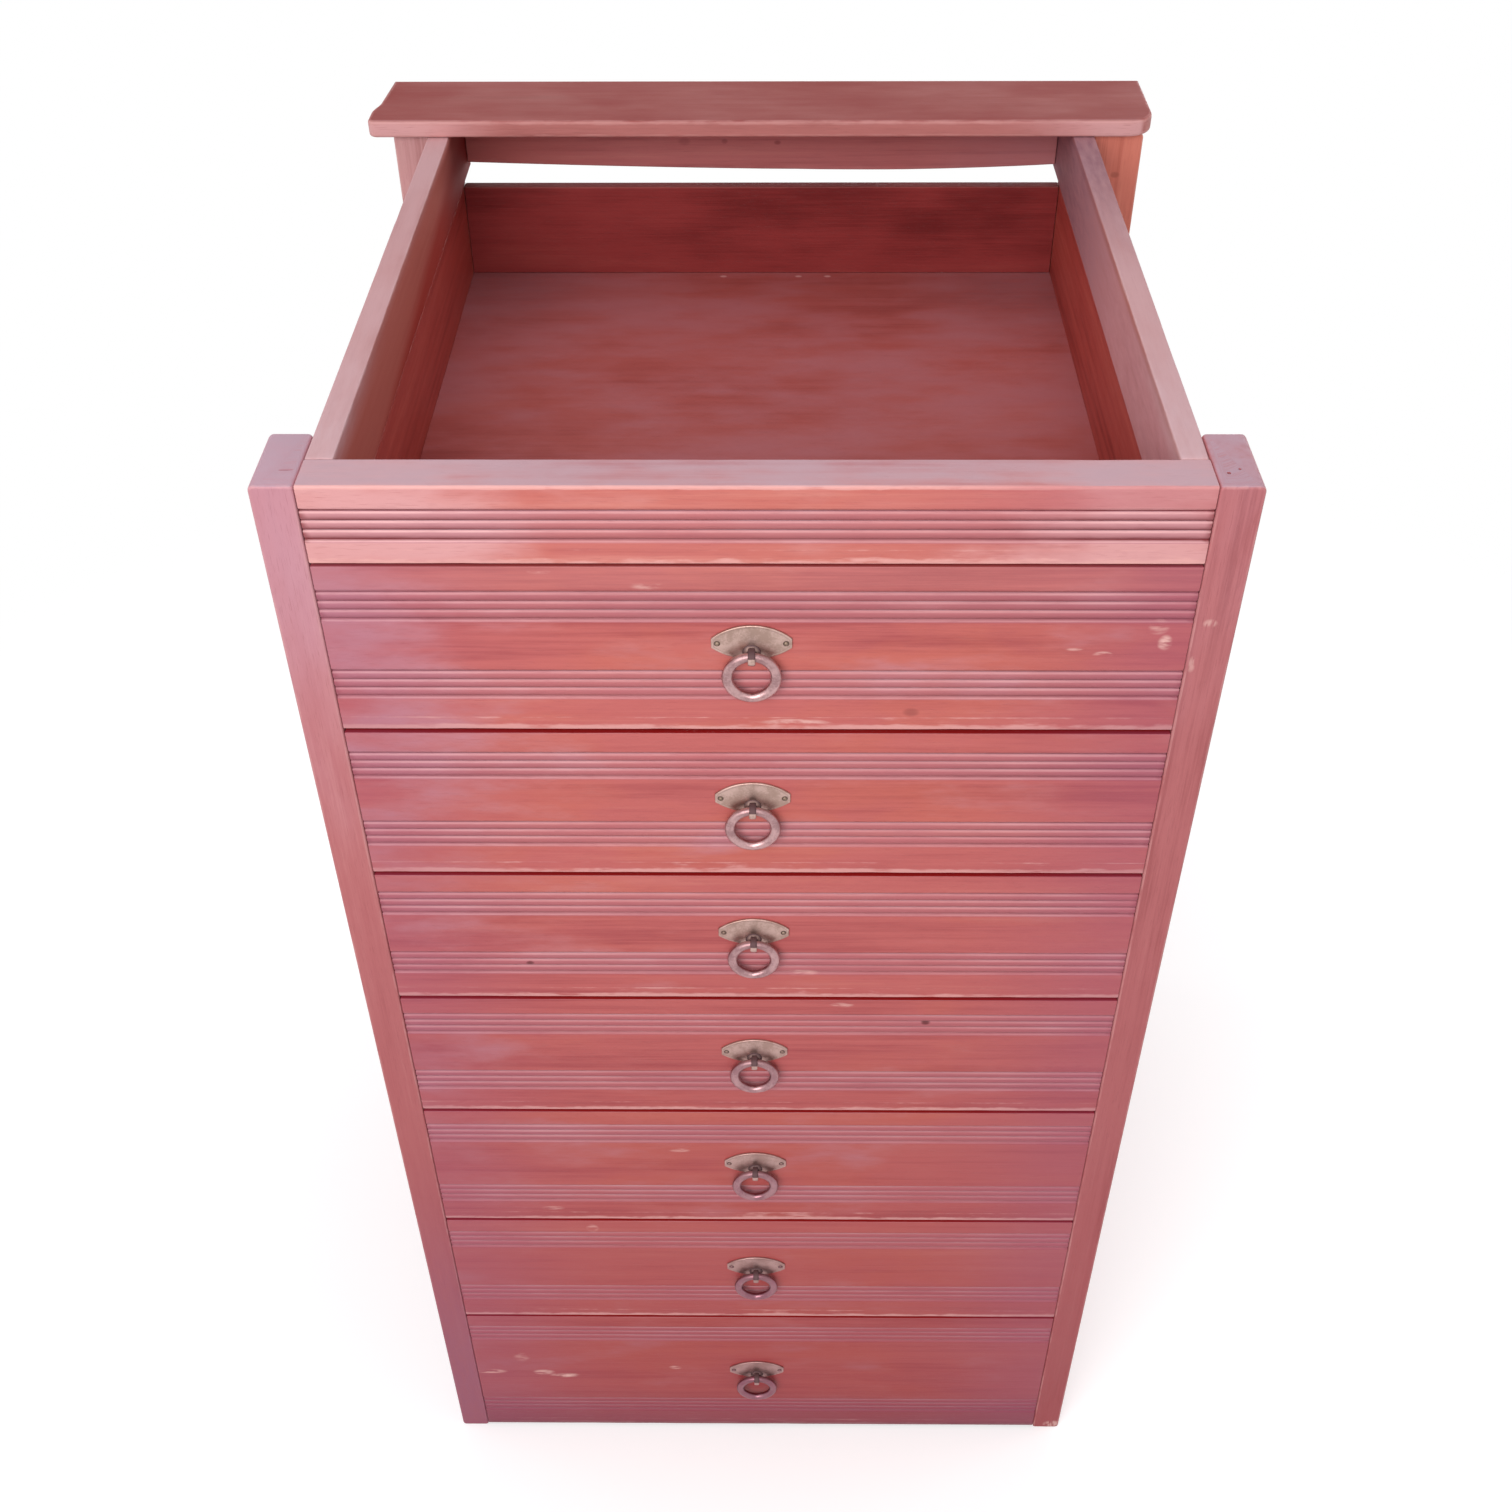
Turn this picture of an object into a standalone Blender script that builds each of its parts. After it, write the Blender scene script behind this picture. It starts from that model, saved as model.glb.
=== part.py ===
"""Closet drawer unit: an open-topped wooden frame that holds seven reeded drawers with ring pulls.

Metres, +Z up. The fronts face -Y, and the origin is under the middle of the unit, on the floor.
Depths are measured backwards from the front plane, which the drawer fronts and front posts share.
"""
import math

import bmesh
import bpy
from mathutils import Matrix

UNIT_NAME = "closet_drawer_unit"

# Clearance between pieces that touch, are glued or stand on one another
SEAT_GAP = 0.0003

# Posts, and the opening that the drawers fill between them
OPENING_WIDTH = 0.505
CASE_DEPTH = 0.570
POST_HEIGHT = 1.020
POST_WIDTH = 0.0235
POST_DEPTH = 0.0565
LEFT_REAR_POST_WIDTH = 0.0265
RIGHT_REAR_POST_WIDTH = 0.0375
REAR_POST_DEPTH = 0.076

# Rails that join the posts
TOP_RAIL_HEIGHT = 0.051
TOP_RAIL_THICKNESS = 0.0285
REAR_RAIL_HEIGHT = 0.046
REAR_RAIL_THICKNESS = 0.017
REAR_RAIL_SAG = 0.0065
BOTTOM_RAIL_THICKNESS = 0.020

# Side racks: a panel between the posts, with the top rail and the runners glued inside it
RUNNER_WIDTH = 0.0165
RUNNER_RISE = 0.0265
PANEL_THICKNESS = 0.0095
PANEL_LAP = 0.0015
PANEL_HOUSING = 0.0275
KICK_GAP = 0.0035

# Cap board on the rear posts
CAP_THICKNESS = 0.0125
CAP_FRONT_OVERHANG = 0.008
CAP_END_OVERHANG = 0.0115
CAP_LEFT_RADIUS = 0.006
CAP_RIGHT_RADIUS = 0.020
CAP_LOBE_STEP = 0.0045
CAP_LOBE_DEPTH = 0.019
CAP_LOBE_BLEND = 0.022
CAP_REAR_TAPER = 0.003

# Drawer fronts: how they share the height under the top rail, from the top drawer to the bottom one
FRONT_SHARES = (119, 120, 120, 125, 139, 140, 182)
FRONT_THICKNESS = 0.020
FRONT_GAP = 0.003
FRONT_END_GAP = 0.0012
FLOOR_GAP = 0.003

# Reeding on the fronts and on the front top rail
REED_COUNT = 3
REED_PITCH = 0.0062
REED_DEPTH = 0.0019
GROOVE_LIP = 0.0015
BAND_TOP_MARGIN = 0.0155
BAND_BOTTOM_MARGIN = 0.0245
RAIL_BAND_MARGIN = 0.0145
REED_STEPS = 6

# Drawer boxes behind the fronts
BOX_CLEARANCE = 0.0012
BOX_SIDE_THICKNESS = 0.012
BOX_BACK_THICKNESS = 0.010
BOX_BOTTOM_THICKNESS = 0.006
BOX_BOTTOM_RISE = 0.008
BOX_GROOVE_DEPTH = 0.004
BOX_TOP_DROP = 0.0045
BOX_REAR_ROOM = 0.024
BOX_BACK_INSET = 0.002
RUNNER_FRONT_GAP = 0.0015

# Ring pulls: each eye sits a little left of its front's middle and below the middle of the flat
PULL_OFFSET = -0.0028
PULL_DROP = 0.003
PLATE_WIDTH = 0.0475
PLATE_RISE = 0.0128
PLATE_DROP = 0.0118
PLATE_LIFT = 0.006
PLATE_TIP_WIDTH = 0.0065
PLATE_THICKNESS = 0.0016
PIN_RADIUS = 0.0015
PIN_INSET = 0.0036
RING_RADIUS = 0.0152
RING_WIRE_RADIUS = 0.0027
EYE_CLEARANCE = 0.0006
EYE_WALL = 0.0023
EYE_WIDTH = 0.005
EYE_SINK = 0.001

# Facets of round shapes, and the distance under which loose caps are welded
WELD_DISTANCE = 0.00001
ARC_STEPS = 8
EYE_FACETS = 20
RING_FACETS = 24
WIRE_FACETS = 8

# Base colour, roughness and metallic value of each finish
FINISHES = {
    "front_stain": ((0.55, 0.16, 0.14), 0.45, 0.0),
    "frame_stain": ((0.50, 0.20, 0.20), 0.55, 0.0),
    "worn_rail": ((0.52, 0.33, 0.36), 0.65, 0.0),
    "cap_stain": ((0.34, 0.11, 0.10), 0.50, 0.0),
    "box_stain": ((0.24, 0.045, 0.045), 0.60, 0.0),
    "box_floor": ((0.32, 0.09, 0.09), 0.65, 0.0),
    "plate_metal": ((0.62, 0.50, 0.40), 0.35, 1.0),
    "ring_metal": ((0.72, 0.58, 0.52), 0.28, 1.0),
}

# What follows from the sizes above
STACK_HEIGHT = POST_HEIGHT - TOP_RAIL_HEIGHT - FLOOR_GAP - len(FRONT_SHARES) * FRONT_GAP
HALF_OPENING = OPENING_WIDTH / 2
RUNNER_OUTER = HALF_OPENING - SEAT_GAP
RUNNER_INNER = RUNNER_OUTER - RUNNER_WIDTH
PANEL_INNER = RUNNER_OUTER - PANEL_LAP
BOX_OUTER = PANEL_INNER - BOX_CLEARANCE
BOX_INNER = BOX_OUTER - BOX_SIDE_THICKNESS
BOX_FRONT = FRONT_THICKNESS + SEAT_GAP
BOX_REAR = CASE_DEPTH - BOX_REAR_ROOM
REAR_POST_FRONT = CASE_DEPTH - REAR_POST_DEPTH
BAND_HEIGHT = 2 * GROOVE_LIP + REED_COUNT * REED_PITCH
EYE_HOLE_RADIUS = RING_WIRE_RADIUS + EYE_CLEARANCE
EYE_RADIUS = EYE_HOLE_RADIUS + EYE_WALL
EYE_DEPTH = -(SEAT_GAP + PLATE_THICKNESS - EYE_SINK + EYE_RADIUS)
PULL_REACH = EYE_RADIUS - EYE_DEPTH
FRONT_Y = (PULL_REACH - CASE_DEPTH) / 2

# Rotations that stand a flat outline upright
ALONG_DEPTH = (math.pi / 2, 0.0, 0.0)
ALONG_WIDTH = (math.pi / 2, 0.0, math.pi / 2)


def new_collection(name):
    collection = bpy.data.collections.new(name)
    bpy.context.scene.collection.children.link(collection)
    return collection


def give_finish(piece, finish):
    """Gives a piece a material of its own."""
    colour, roughness, metallic = FINISHES[finish]
    material = bpy.data.materials.new(piece.name + "_" + finish)
    material.use_nodes = True
    shader = material.node_tree.nodes["Principled BSDF"]
    shader.inputs["Base Color"].default_value = (*colour, 1.0)
    shader.inputs["Roughness"].default_value = roughness
    shader.inputs["Metallic"].default_value = metallic
    if not piece.data.materials:
        piece.data.materials.append(None)
    piece.material_slots[0].link = "OBJECT"
    piece.material_slots[0].material = material


def place(name, data, centre, finish, parent=None, rotation=(0.0, 0.0, 0.0)):
    """Makes an object of the unit, with its centre given as (across, depth, height)."""
    piece = bpy.data.objects.new(name, data)
    parts.objects.link(piece)
    across, depth, height = centre
    piece.location = (across, FRONT_Y + depth, height)
    piece.rotation_euler = rotation
    if parent is not None:
        piece.parent = parent
        piece.matrix_parent_inverse = Matrix.Translation(parent.matrix_world.translation).inverted()
    give_finish(piece, finish)
    return piece


def joint_empty(name, centre, parent=None):
    """Makes an empty on a joint's axis, which carries the pieces that move there."""
    empty = bpy.data.objects.new(name, None)
    parts.objects.link(empty)
    across, depth, height = centre
    empty.location = (across, FRONT_Y + depth, height)
    if parent is not None:
        empty.parent = parent
        empty.matrix_parent_inverse = Matrix.Translation(parent.matrix_world.translation).inverted()
    bpy.context.view_layer.update()
    return empty


def tool_object(name, mesh):
    """Makes a hidden object that is joined to a piece or cut out of it."""
    tool = bpy.data.objects.new(name, mesh)
    tools.objects.link(tool)
    tool.hide_render = True
    tool.display_type = "WIRE"
    return tool


def box_mesh(name, size):
    mesh = bpy.data.meshes.new(name)
    shape = bmesh.new()
    bmesh.ops.create_cube(shape, size=1.0, matrix=Matrix.Diagonal((*size, 1.0)))
    shape.to_mesh(mesh)
    shape.free()
    return mesh


def board(name, across, depth, height, finish, parent=None):
    """Makes a plain board that fills three (low, high) spans."""
    spans = (across, depth, height)
    size = [high - low for low, high in spans]
    centre = [(low + high) / 2 for low, high in spans]
    return place(name, box_mesh(name, size), centre, finish, parent)


def outline_curve(name, points, thickness):
    """Makes a filled flat outline, extruded to a thickness."""
    curve = bpy.data.curves.new(name, "CURVE")
    curve.dimensions = "2D"
    curve.fill_mode = "BOTH"
    curve.extrude = thickness / 2
    spline = curve.splines.new("POLY")
    spline.points.add(len(points) - 1)
    for point, (first, second) in zip(spline.points, points):
        point.co = (first, second, 0.0, 1.0)
    spline.use_cyclic_u = True
    return curve


def reed_band(top):
    """Section of one band of reeds, from its top down, as (depth, height) points."""
    points = [(0.0, top), (REED_DEPTH, top - GROOVE_LIP)]
    for reed in range(REED_COUNT):
        groove = top - GROOVE_LIP - reed * REED_PITCH
        for step in range(1, REED_STEPS + 1):
            angle = math.pi * step / REED_STEPS
            depth = REED_DEPTH * (1 - math.sin(angle))
            points.append((depth, groove - REED_PITCH * (1 - math.cos(angle)) / 2))
    points.append((0.0, top - BAND_HEIGHT))
    return points


def reeded_board(name, width, thickness, bottom, height, band_tops, finish, parent=None):
    """Makes a board across the unit, its face on the front plane, with bands of reeds along it."""
    points = [(0.0, height)]
    for band_top in band_tops:
        points.extend(reed_band(band_top))
    points.extend([(0.0, 0.0), (thickness, 0.0), (thickness, height)])
    curve = outline_curve(name, points, width)
    return place(name, curve, (0.0, 0.0, bottom), finish, parent, ALONG_WIDTH)


def arc_point(centre, radius, angle):
    return (centre[0] + radius * math.cos(angle), centre[1] + radius * math.sin(angle))


def cap_outline():
    """Plan of the cap: front corners rounded, and the left end drawn in behind a front lobe."""
    half = HALF_OPENING + (LEFT_REAR_POST_WIDTH + RIGHT_REAR_POST_WIDTH) / 2 + CAP_END_OVERHANG
    front = REAR_POST_FRONT - CAP_FRONT_OVERHANG
    points = []
    for side, start, radius in ((-1, math.pi, CAP_LEFT_RADIUS), (1, 1.5 * math.pi, CAP_RIGHT_RADIUS)):
        centre = (side * (half - radius), front + radius)
        for step in range(ARC_STEPS + 1):
            points.append(arc_point(centre, radius, start + 0.5 * math.pi * step / ARC_STEPS))
    points.append((half, CASE_DEPTH))
    points.append((-half + CAP_LOBE_STEP + CAP_REAR_TAPER, CASE_DEPTH))
    for step in range(ARC_STEPS + 1):
        share = 1 - step / ARC_STEPS
        inset = CAP_LOBE_STEP * (1 - math.cos(math.pi * share)) / 2
        points.append((-half + inset, front + CAP_LOBE_DEPTH + CAP_LOBE_BLEND * share))
    return points


def rear_rail_outline(half):
    """Face of the rear top rail, whose lower edge sags towards the middle."""
    points = [(half, POST_HEIGHT), (-half, POST_HEIGHT)]
    count = 2 * ARC_STEPS
    for step in range(count + 1):
        share = 2 * step / count - 1
        sag = REAR_RAIL_SAG * (1 - share * share)
        points.append((half * share, POST_HEIGHT - REAR_RAIL_HEIGHT - sag))
    return points


def make_posts():
    outer = HALF_OPENING + POST_WIDTH
    height = (0.0, POST_HEIGHT)
    for side, sign, rear_width in (("left", -1, LEFT_REAR_POST_WIDTH), ("right", 1, RIGHT_REAR_POST_WIDTH)):
        front_span = sorted((sign * HALF_OPENING, sign * outer))
        rear_span = sorted((sign * HALF_OPENING, sign * (HALF_OPENING + rear_width)))
        board("front_post_" + side, front_span, (0.0, POST_DEPTH), height, "frame_stain")
        board("rear_post_" + side, rear_span, (REAR_POST_FRONT, CASE_DEPTH), height, "frame_stain")


def make_rails():
    rail_bottom = POST_HEIGHT - TOP_RAIL_HEIGHT
    band_tops = [TOP_RAIL_HEIGHT - RAIL_BAND_MARGIN]
    reeded_board("front_top_rail", 2 * RUNNER_OUTER, TOP_RAIL_THICKNESS, rail_bottom,
                 TOP_RAIL_HEIGHT, band_tops, "front_stain")
    half = RUNNER_INNER - SEAT_GAP
    curve = outline_curve("rear_top_rail", rear_rail_outline(half), REAR_RAIL_THICKNESS)
    place("rear_top_rail", curve, (0.0, CASE_DEPTH - REAR_RAIL_THICKNESS / 2, 0.0), "cap_stain",
          rotation=ALONG_DEPTH)
    front = FRONT_THICKNESS + RUNNER_FRONT_GAP
    height = (FLOOR_GAP, FLOOR_GAP + RUNNER_RISE)
    board("bottom_front_rail", (-half, half), (front, front + BOTTOM_RAIL_THICKNESS), height, "frame_stain")
    board("bottom_rear_rail", (-half, half), (CASE_DEPTH - BOTTOM_RAIL_THICKNESS, CASE_DEPTH), height,
          "frame_stain")


def make_cap():
    curve = outline_curve("cap_board", cap_outline(), CAP_THICKNESS)
    middle = POST_HEIGHT + SEAT_GAP + CAP_THICKNESS / 2
    place("cap_board", curve, (0.0, 0.0, middle), "cap_stain")


def front_spans():
    """Lower and upper edge of each drawer front, from the top drawer down."""
    spans = []
    top = POST_HEIGHT - TOP_RAIL_HEIGHT - FRONT_GAP
    for share in FRONT_SHARES:
        height = STACK_HEIGHT * share / sum(FRONT_SHARES)
        spans.append((top - height, top))
        top -= height + FRONT_GAP
    return spans


def rail_spans():
    """Height span of a rack's top rail and of each runner, which also keeps down the drawer below it."""
    kick_drop = FRONT_GAP + BOX_TOP_DROP - KICK_GAP
    spans = [(POST_HEIGHT - TOP_RAIL_HEIGHT - kick_drop, POST_HEIGHT)]
    for bottom, _ in front_spans():
        spans.append((max(bottom - kick_drop, FLOOR_GAP), bottom + RUNNER_RISE))
    return spans


def make_rack(side, sign):
    """Makes one side: a panel between the posts, with its top rail and runners fused to it."""
    name = side + "_side_rack"
    bars = bpy.data.meshes.new(name + "_bars")
    shape = bmesh.new()
    for index, (low, high) in enumerate(rail_spans()):
        front = TOP_RAIL_THICKNESS + SEAT_GAP if index == 0 else FRONT_THICKNESS + RUNNER_FRONT_GAP
        size = (RUNNER_WIDTH, CASE_DEPTH - front, high - low)
        across = sign * (RUNNER_INNER + RUNNER_OUTER) / 2
        centre = (across, FRONT_Y + (CASE_DEPTH + front) / 2, (low + high) / 2)
        matrix = Matrix.Translation(centre) @ Matrix.Diagonal((*size, 1.0))
        bmesh.ops.create_cube(shape, size=1.0, matrix=matrix)
    shape.to_mesh(bars)
    shape.free()
    panel_span = sorted((sign * PANEL_INNER, sign * (PANEL_INNER + PANEL_THICKNESS)))
    depth = (POST_DEPTH + SEAT_GAP, REAR_POST_FRONT - SEAT_GAP)
    top_rail, lowest_runner = rail_spans()[0], rail_spans()[-1]
    height = (lowest_runner[0], top_rail[0] + PANEL_HOUSING)
    panel = board(name, panel_span, depth, height, "worn_rail")
    union = panel.modifiers.new("bars", "BOOLEAN")
    union.operation = "UNION"
    union.object = tool_object(name + "_bars", bars)


def plate_outline():
    """Face of a pull plate: two shallow arcs that meet at blunt tips."""
    half = PLATE_WIDTH / 2
    points = []
    for sign, bulge in ((1, PLATE_RISE), (-1, PLATE_DROP)):
        sagitta = bulge - PLATE_TIP_WIDTH / 2
        radius = (half * half + sagitta * sagitta) / (2 * sagitta)
        spread = math.asin(half / radius)
        for step in range(2 * ARC_STEPS + 1):
            angle = spread * (1 - step / ARC_STEPS)
            rise = radius * math.cos(angle) - radius + bulge
            points.append((sign * radius * math.sin(angle), sign * rise))
    return points


def rod_tool(name, radius, length):
    """Makes a round bar along the width, centred on the eye."""
    mesh = bpy.data.meshes.new(name)
    shape = bmesh.new()
    bmesh.ops.create_cone(shape, cap_ends=True, segments=EYE_FACETS, radius1=radius, radius2=radius,
                          depth=length, matrix=Matrix.Rotation(math.pi / 2, 4, "Y"))
    shape.to_mesh(mesh)
    shape.free()
    return tool_object(name, mesh)


def pin_tool(name, across, depth):
    """Makes the round head of a pin at one tip of the plate."""
    mesh = bpy.data.meshes.new(name)
    shape = bmesh.new()
    bmesh.ops.create_uvsphere(shape, u_segments=EYE_FACETS // 2, v_segments=WIRE_FACETS // 2,
                              radius=PIN_RADIUS, matrix=Matrix.Translation((across, depth, PLATE_LIFT)))
    shape.to_mesh(mesh)
    shape.free()
    return tool_object(name, mesh)


def evaluated_mesh(source):
    """Returns the welded mesh that an object shows with its modifiers."""
    bpy.context.view_layer.update()
    mesh = bpy.data.meshes.new_from_object(source.evaluated_get(bpy.context.evaluated_depsgraph_get()))
    shape = bmesh.new()
    shape.from_mesh(mesh)
    bmesh.ops.remove_doubles(shape, verts=shape.verts, dist=WELD_DISTANCE)
    shape.to_mesh(mesh)
    shape.free()
    return mesh


def pull_plate_mesh():
    """Fuses the plate, the heads of its pins and the eye that holds the ring; its origin is in the eye."""
    face = outline_curve("plate_blank", plate_outline(), PLATE_THICKNESS)
    blank = bpy.data.objects.new("plate_blank", face)
    tools.objects.link(blank)
    flat_plate = evaluated_mesh(blank)
    bpy.data.objects.remove(blank)
    plate_depth = -SEAT_GAP - PLATE_THICKNESS / 2 - EYE_DEPTH
    plate_centre = Matrix.Translation((0.0, plate_depth, PLATE_LIFT))
    flat_plate.transform(plate_centre @ Matrix.Rotation(math.pi / 2, 4, "X"))
    plate = tool_object("plate_with_eye", flat_plate)
    pin_place = PLATE_WIDTH / 2 - PIN_INSET
    pin_depth = plate_depth - PLATE_THICKNESS / 2
    steps = [("UNION", rod_tool("eye_disc", EYE_RADIUS, EYE_WIDTH))]
    for side, sign in (("left", -1), ("right", 1)):
        steps.append(("UNION", pin_tool("pin_head_" + side, sign * pin_place, pin_depth)))
    steps.append(("DIFFERENCE", rod_tool("eye_hole", EYE_HOLE_RADIUS, 2 * EYE_WIDTH)))
    for operation, tool in steps:
        modifier = plate.modifiers.new(tool.name, "BOOLEAN")
        modifier.operation = operation
        modifier.object = tool
    mesh = evaluated_mesh(plate)
    bpy.data.objects.remove(plate)
    return mesh


def ring_mesh():
    """Makes a ring in the plane of the fronts, with the top of its wire at the origin."""
    bpy.ops.mesh.primitive_torus_add(major_radius=RING_RADIUS, minor_radius=RING_WIRE_RADIUS,
                                     major_segments=RING_FACETS, minor_segments=WIRE_FACETS)
    torus = bpy.context.active_object
    mesh = torus.data
    bpy.data.objects.remove(torus)
    mesh.transform(Matrix.Translation((0.0, 0.0, -RING_RADIUS)) @ Matrix.Rotation(math.pi / 2, 4, "X"))
    mesh.shade_smooth()
    return mesh


def side_outline(sign, bottom, top):
    """Section of a drawer side, with the groove that holds the bottom board."""
    outer, inner = sign * BOX_OUTER, sign * BOX_INNER
    groove = sign * (BOX_INNER + BOX_GROOVE_DEPTH)
    groove_low = bottom + BOX_BOTTOM_RISE
    groove_high = groove_low + BOX_BOTTOM_THICKNESS + 2 * SEAT_GAP
    return [(outer, bottom), (inner, bottom), (inner, groove_low), (groove, groove_low),
            (groove, groove_high), (inner, groove_high), (inner, top), (outer, top)]


def make_box(name, bottom, top, slide):
    """Makes the sides, back and bottom of one drawer."""
    length = BOX_REAR - BOX_FRONT
    middle = (BOX_REAR + BOX_FRONT) / 2
    for side, sign in (("left", -1), ("right", 1)):
        side_name = name + "_" + side + "_side"
        curve = outline_curve(side_name, side_outline(sign, bottom, top), length)
        place(side_name, curve, (0.0, middle, 0.0), "box_stain", slide, ALONG_DEPTH)
    floor_low = bottom + BOX_BOTTOM_RISE + SEAT_GAP
    floor_high = floor_low + BOX_BOTTOM_THICKNESS
    floor_half = BOX_INNER + BOX_GROOVE_DEPTH - SEAT_GAP
    back_rear = BOX_REAR - BOX_BACK_INSET
    board(name + "_bottom", (-floor_half, floor_half), (BOX_FRONT, back_rear), (floor_low, floor_high),
          "box_floor", slide)
    back_half = BOX_INNER - SEAT_GAP
    board(name + "_back", (-back_half, back_half), (back_rear - BOX_BACK_THICKNESS, back_rear),
          (floor_high + SEAT_GAP, top), "box_stain", slide)


def make_drawer(number, bottom, top, plate, ring):
    """Makes one drawer with its pull, on an empty that slides and one that swings."""
    name = "drawer_" + str(number)
    slide = joint_empty(name + "_slide", (0.0, 0.0, bottom))
    height = top - bottom
    upper_band = height - BAND_TOP_MARGIN
    lower_band = BAND_BOTTOM_MARGIN + BAND_HEIGHT
    reeded_board(name + "_front", 2 * (HALF_OPENING - FRONT_END_GAP), FRONT_THICKNESS, bottom, height,
                 [upper_band, lower_band], "front_stain", slide)
    make_box(name, bottom + RUNNER_RISE + SEAT_GAP, top - BOX_TOP_DROP, slide)
    eye_height = bottom + (upper_band - BAND_HEIGHT + lower_band) / 2 - PULL_DROP
    eye = (PULL_OFFSET, EYE_DEPTH, eye_height)
    place(name + "_pull_plate", plate, eye, "plate_metal", slide)
    swing = joint_empty("ring_" + str(number) + "_swing", eye, slide)
    place(name + "_pull_ring", ring, eye, "ring_metal", swing)


def make_unit():
    make_posts()
    make_rails()
    make_cap()
    make_rack("left", -1)
    make_rack("right", 1)
    plate = pull_plate_mesh()
    ring = ring_mesh()
    for number, (bottom, top) in enumerate(front_spans(), start=1):
        make_drawer(number, bottom, top, plate, ring)


for old in list(bpy.data.objects):
    bpy.data.objects.remove(old)
parts = new_collection(UNIT_NAME)
tools = new_collection(UNIT_NAME + "_cutters")
make_unit()
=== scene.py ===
"""Looks of the closet drawer unit: worn red boards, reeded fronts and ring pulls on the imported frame."""

import itertools
import math

import bmesh
import bpy
from mathutils import Matrix, Vector, noise


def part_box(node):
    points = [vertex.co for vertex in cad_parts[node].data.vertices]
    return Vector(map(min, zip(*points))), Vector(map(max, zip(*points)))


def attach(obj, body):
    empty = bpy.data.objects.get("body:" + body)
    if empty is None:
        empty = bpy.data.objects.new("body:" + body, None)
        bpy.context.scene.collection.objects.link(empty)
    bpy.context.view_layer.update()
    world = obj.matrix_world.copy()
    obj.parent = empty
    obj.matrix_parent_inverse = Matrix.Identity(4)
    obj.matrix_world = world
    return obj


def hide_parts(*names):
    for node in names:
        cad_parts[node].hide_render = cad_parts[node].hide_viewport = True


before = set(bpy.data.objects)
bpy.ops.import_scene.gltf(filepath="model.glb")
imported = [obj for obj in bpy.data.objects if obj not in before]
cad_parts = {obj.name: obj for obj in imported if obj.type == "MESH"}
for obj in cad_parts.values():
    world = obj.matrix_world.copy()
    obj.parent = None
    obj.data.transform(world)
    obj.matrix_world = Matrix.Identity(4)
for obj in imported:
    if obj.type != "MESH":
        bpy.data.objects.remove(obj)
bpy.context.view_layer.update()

CARCASS = "carcass"
DRAWERS = range(1, 8)
ALONG_X, ALONG_Y, ALONG_Z = range(3)

# Face of all the fronts and half the width between the side racks, both from the frame
FRONT_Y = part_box("front_top_rail")[0].y
RACK_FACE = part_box("front_top_rail")[1].x

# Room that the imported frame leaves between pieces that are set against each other
SEAT = 0.0003

# Mesh lines of a board: how far wear reaches in from an arris, and the widest spacing
EDGE_FADE = 0.004
LINE_STEP = 0.024
ROUND_STEPS = 4
NICK_DEPTH = 0.0009
NICK_PITCH = 34.0

# Share of a turn from one board's number to the next, which keeps neighbours apart
BOARD_SHARE = 0.618034

# Corner rounds of a post's face, inner and outer, at the foot and at the top, each wider than the eased
# arris and its fade, and how far the front posts spread outward to their tops
POST_ROUNDS = ((0.0024, 0.0032), (0.0026, 0.0036))
POST_EASE = 0.0014
POST_FADE = 0.0007
POST_SPREAD = 0.0020

# Reeding, as cut in the fronts
REED_COUNT = 3
REED_PITCH = 0.0062
REED_DEPTH = 0.0018
GROOVE_LIP = 0.0015
BAND_HEIGHT = 2 * GROOVE_LIP + REED_COUNT * REED_PITCH
BAND_TOP_MARGIN = 0.0155
BAND_BOTTOM_MARGIN = 0.0245
RAIL_BAND_MARGIN = 0.0145
REED_STEPS = 12
REED_END = 0.005
BAND_FADE = 0.0012
# Painted highlight: how pale each step of a reed's section is painted along its upper crest
CREST_LIGHT = {2: 0.5, 3: 1.0, 4: 0.45}

# Other shapes of the fronts: wear over the lower arris as (rise, share), and painted shade in the gaps
# between them
BACK_EASE = 0.0008
END_EASE = 0.0006
END_WEAR = 0.4
FRONT_STEP = 0.012
TOP_FADE = 0.0022
LOW_WEAR = ((0.0100, 0.0), (0.0088, 0.80), (0.0074, 0.60), (0.0042, 0.62), (0.0022, 0.90))
GAP_SHADE = 2.0
GAP_SHOWN = 0.0035
FRONT_WIDEN = 0.0010
TOP_FRONT_RISE = 0.0012

# Rounding and wear of the reeded boards, each at the upper and the lower arris
DRAWER_EASES, DRAWER_WEARS = (0.0007, 0.0011), (0.3, 1.0)
RAIL_EASES, RAIL_WEARS = (0.0014, 0.0010), (1.0, 0.9)

# Rear top rail: its lower edge rises from the lowest place to the left end and to the right end
SAG_PLACE = 0.4
SAG_RISES = (0.0065, 0.0042)
SAG_BEND = 1.7
SAG_STEPS = 32

# Cap board: radii of its front corners, and its left end, which steps in behind a lobe and tapers
CAP_RADII = (0.006, 0.020)
CAP_STEPS = 10
CAP_STEP_IN, CAP_LOBE, CAP_BEND, CAP_TAPER = 0.0045, 0.019, 0.022, 0.003
CAP_EASE = 0.0022
CAP_FADE = 0.003

# Side racks: top rail and runners, and the panel outside them
RACK_RAIL_WIDTH = 0.0165
RUNNER_RISE = 0.0265
RUNNER_SETBACK = 0.0015
KICK_DROP = 0.004
PANEL_THICKNESS = 0.0080
PANEL_OVERLAP = 0.0275
PANEL_GAP = 0.00002
PANEL_STEP = 0.05

# Plain boards: rounding of their arrises, widest spacing of mesh lines inside, and how far a floor laps
RAIL_EASE = 0.0014
BOTTOM_RAIL_EASE = 0.0012
RACK_RAIL_EASE = 0.0016
BOX_EASE = 0.0010
FLOOR_EASE = 0.0006
BOX_STEP = 0.06
FLOOR_LAP = 0.0003

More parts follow.
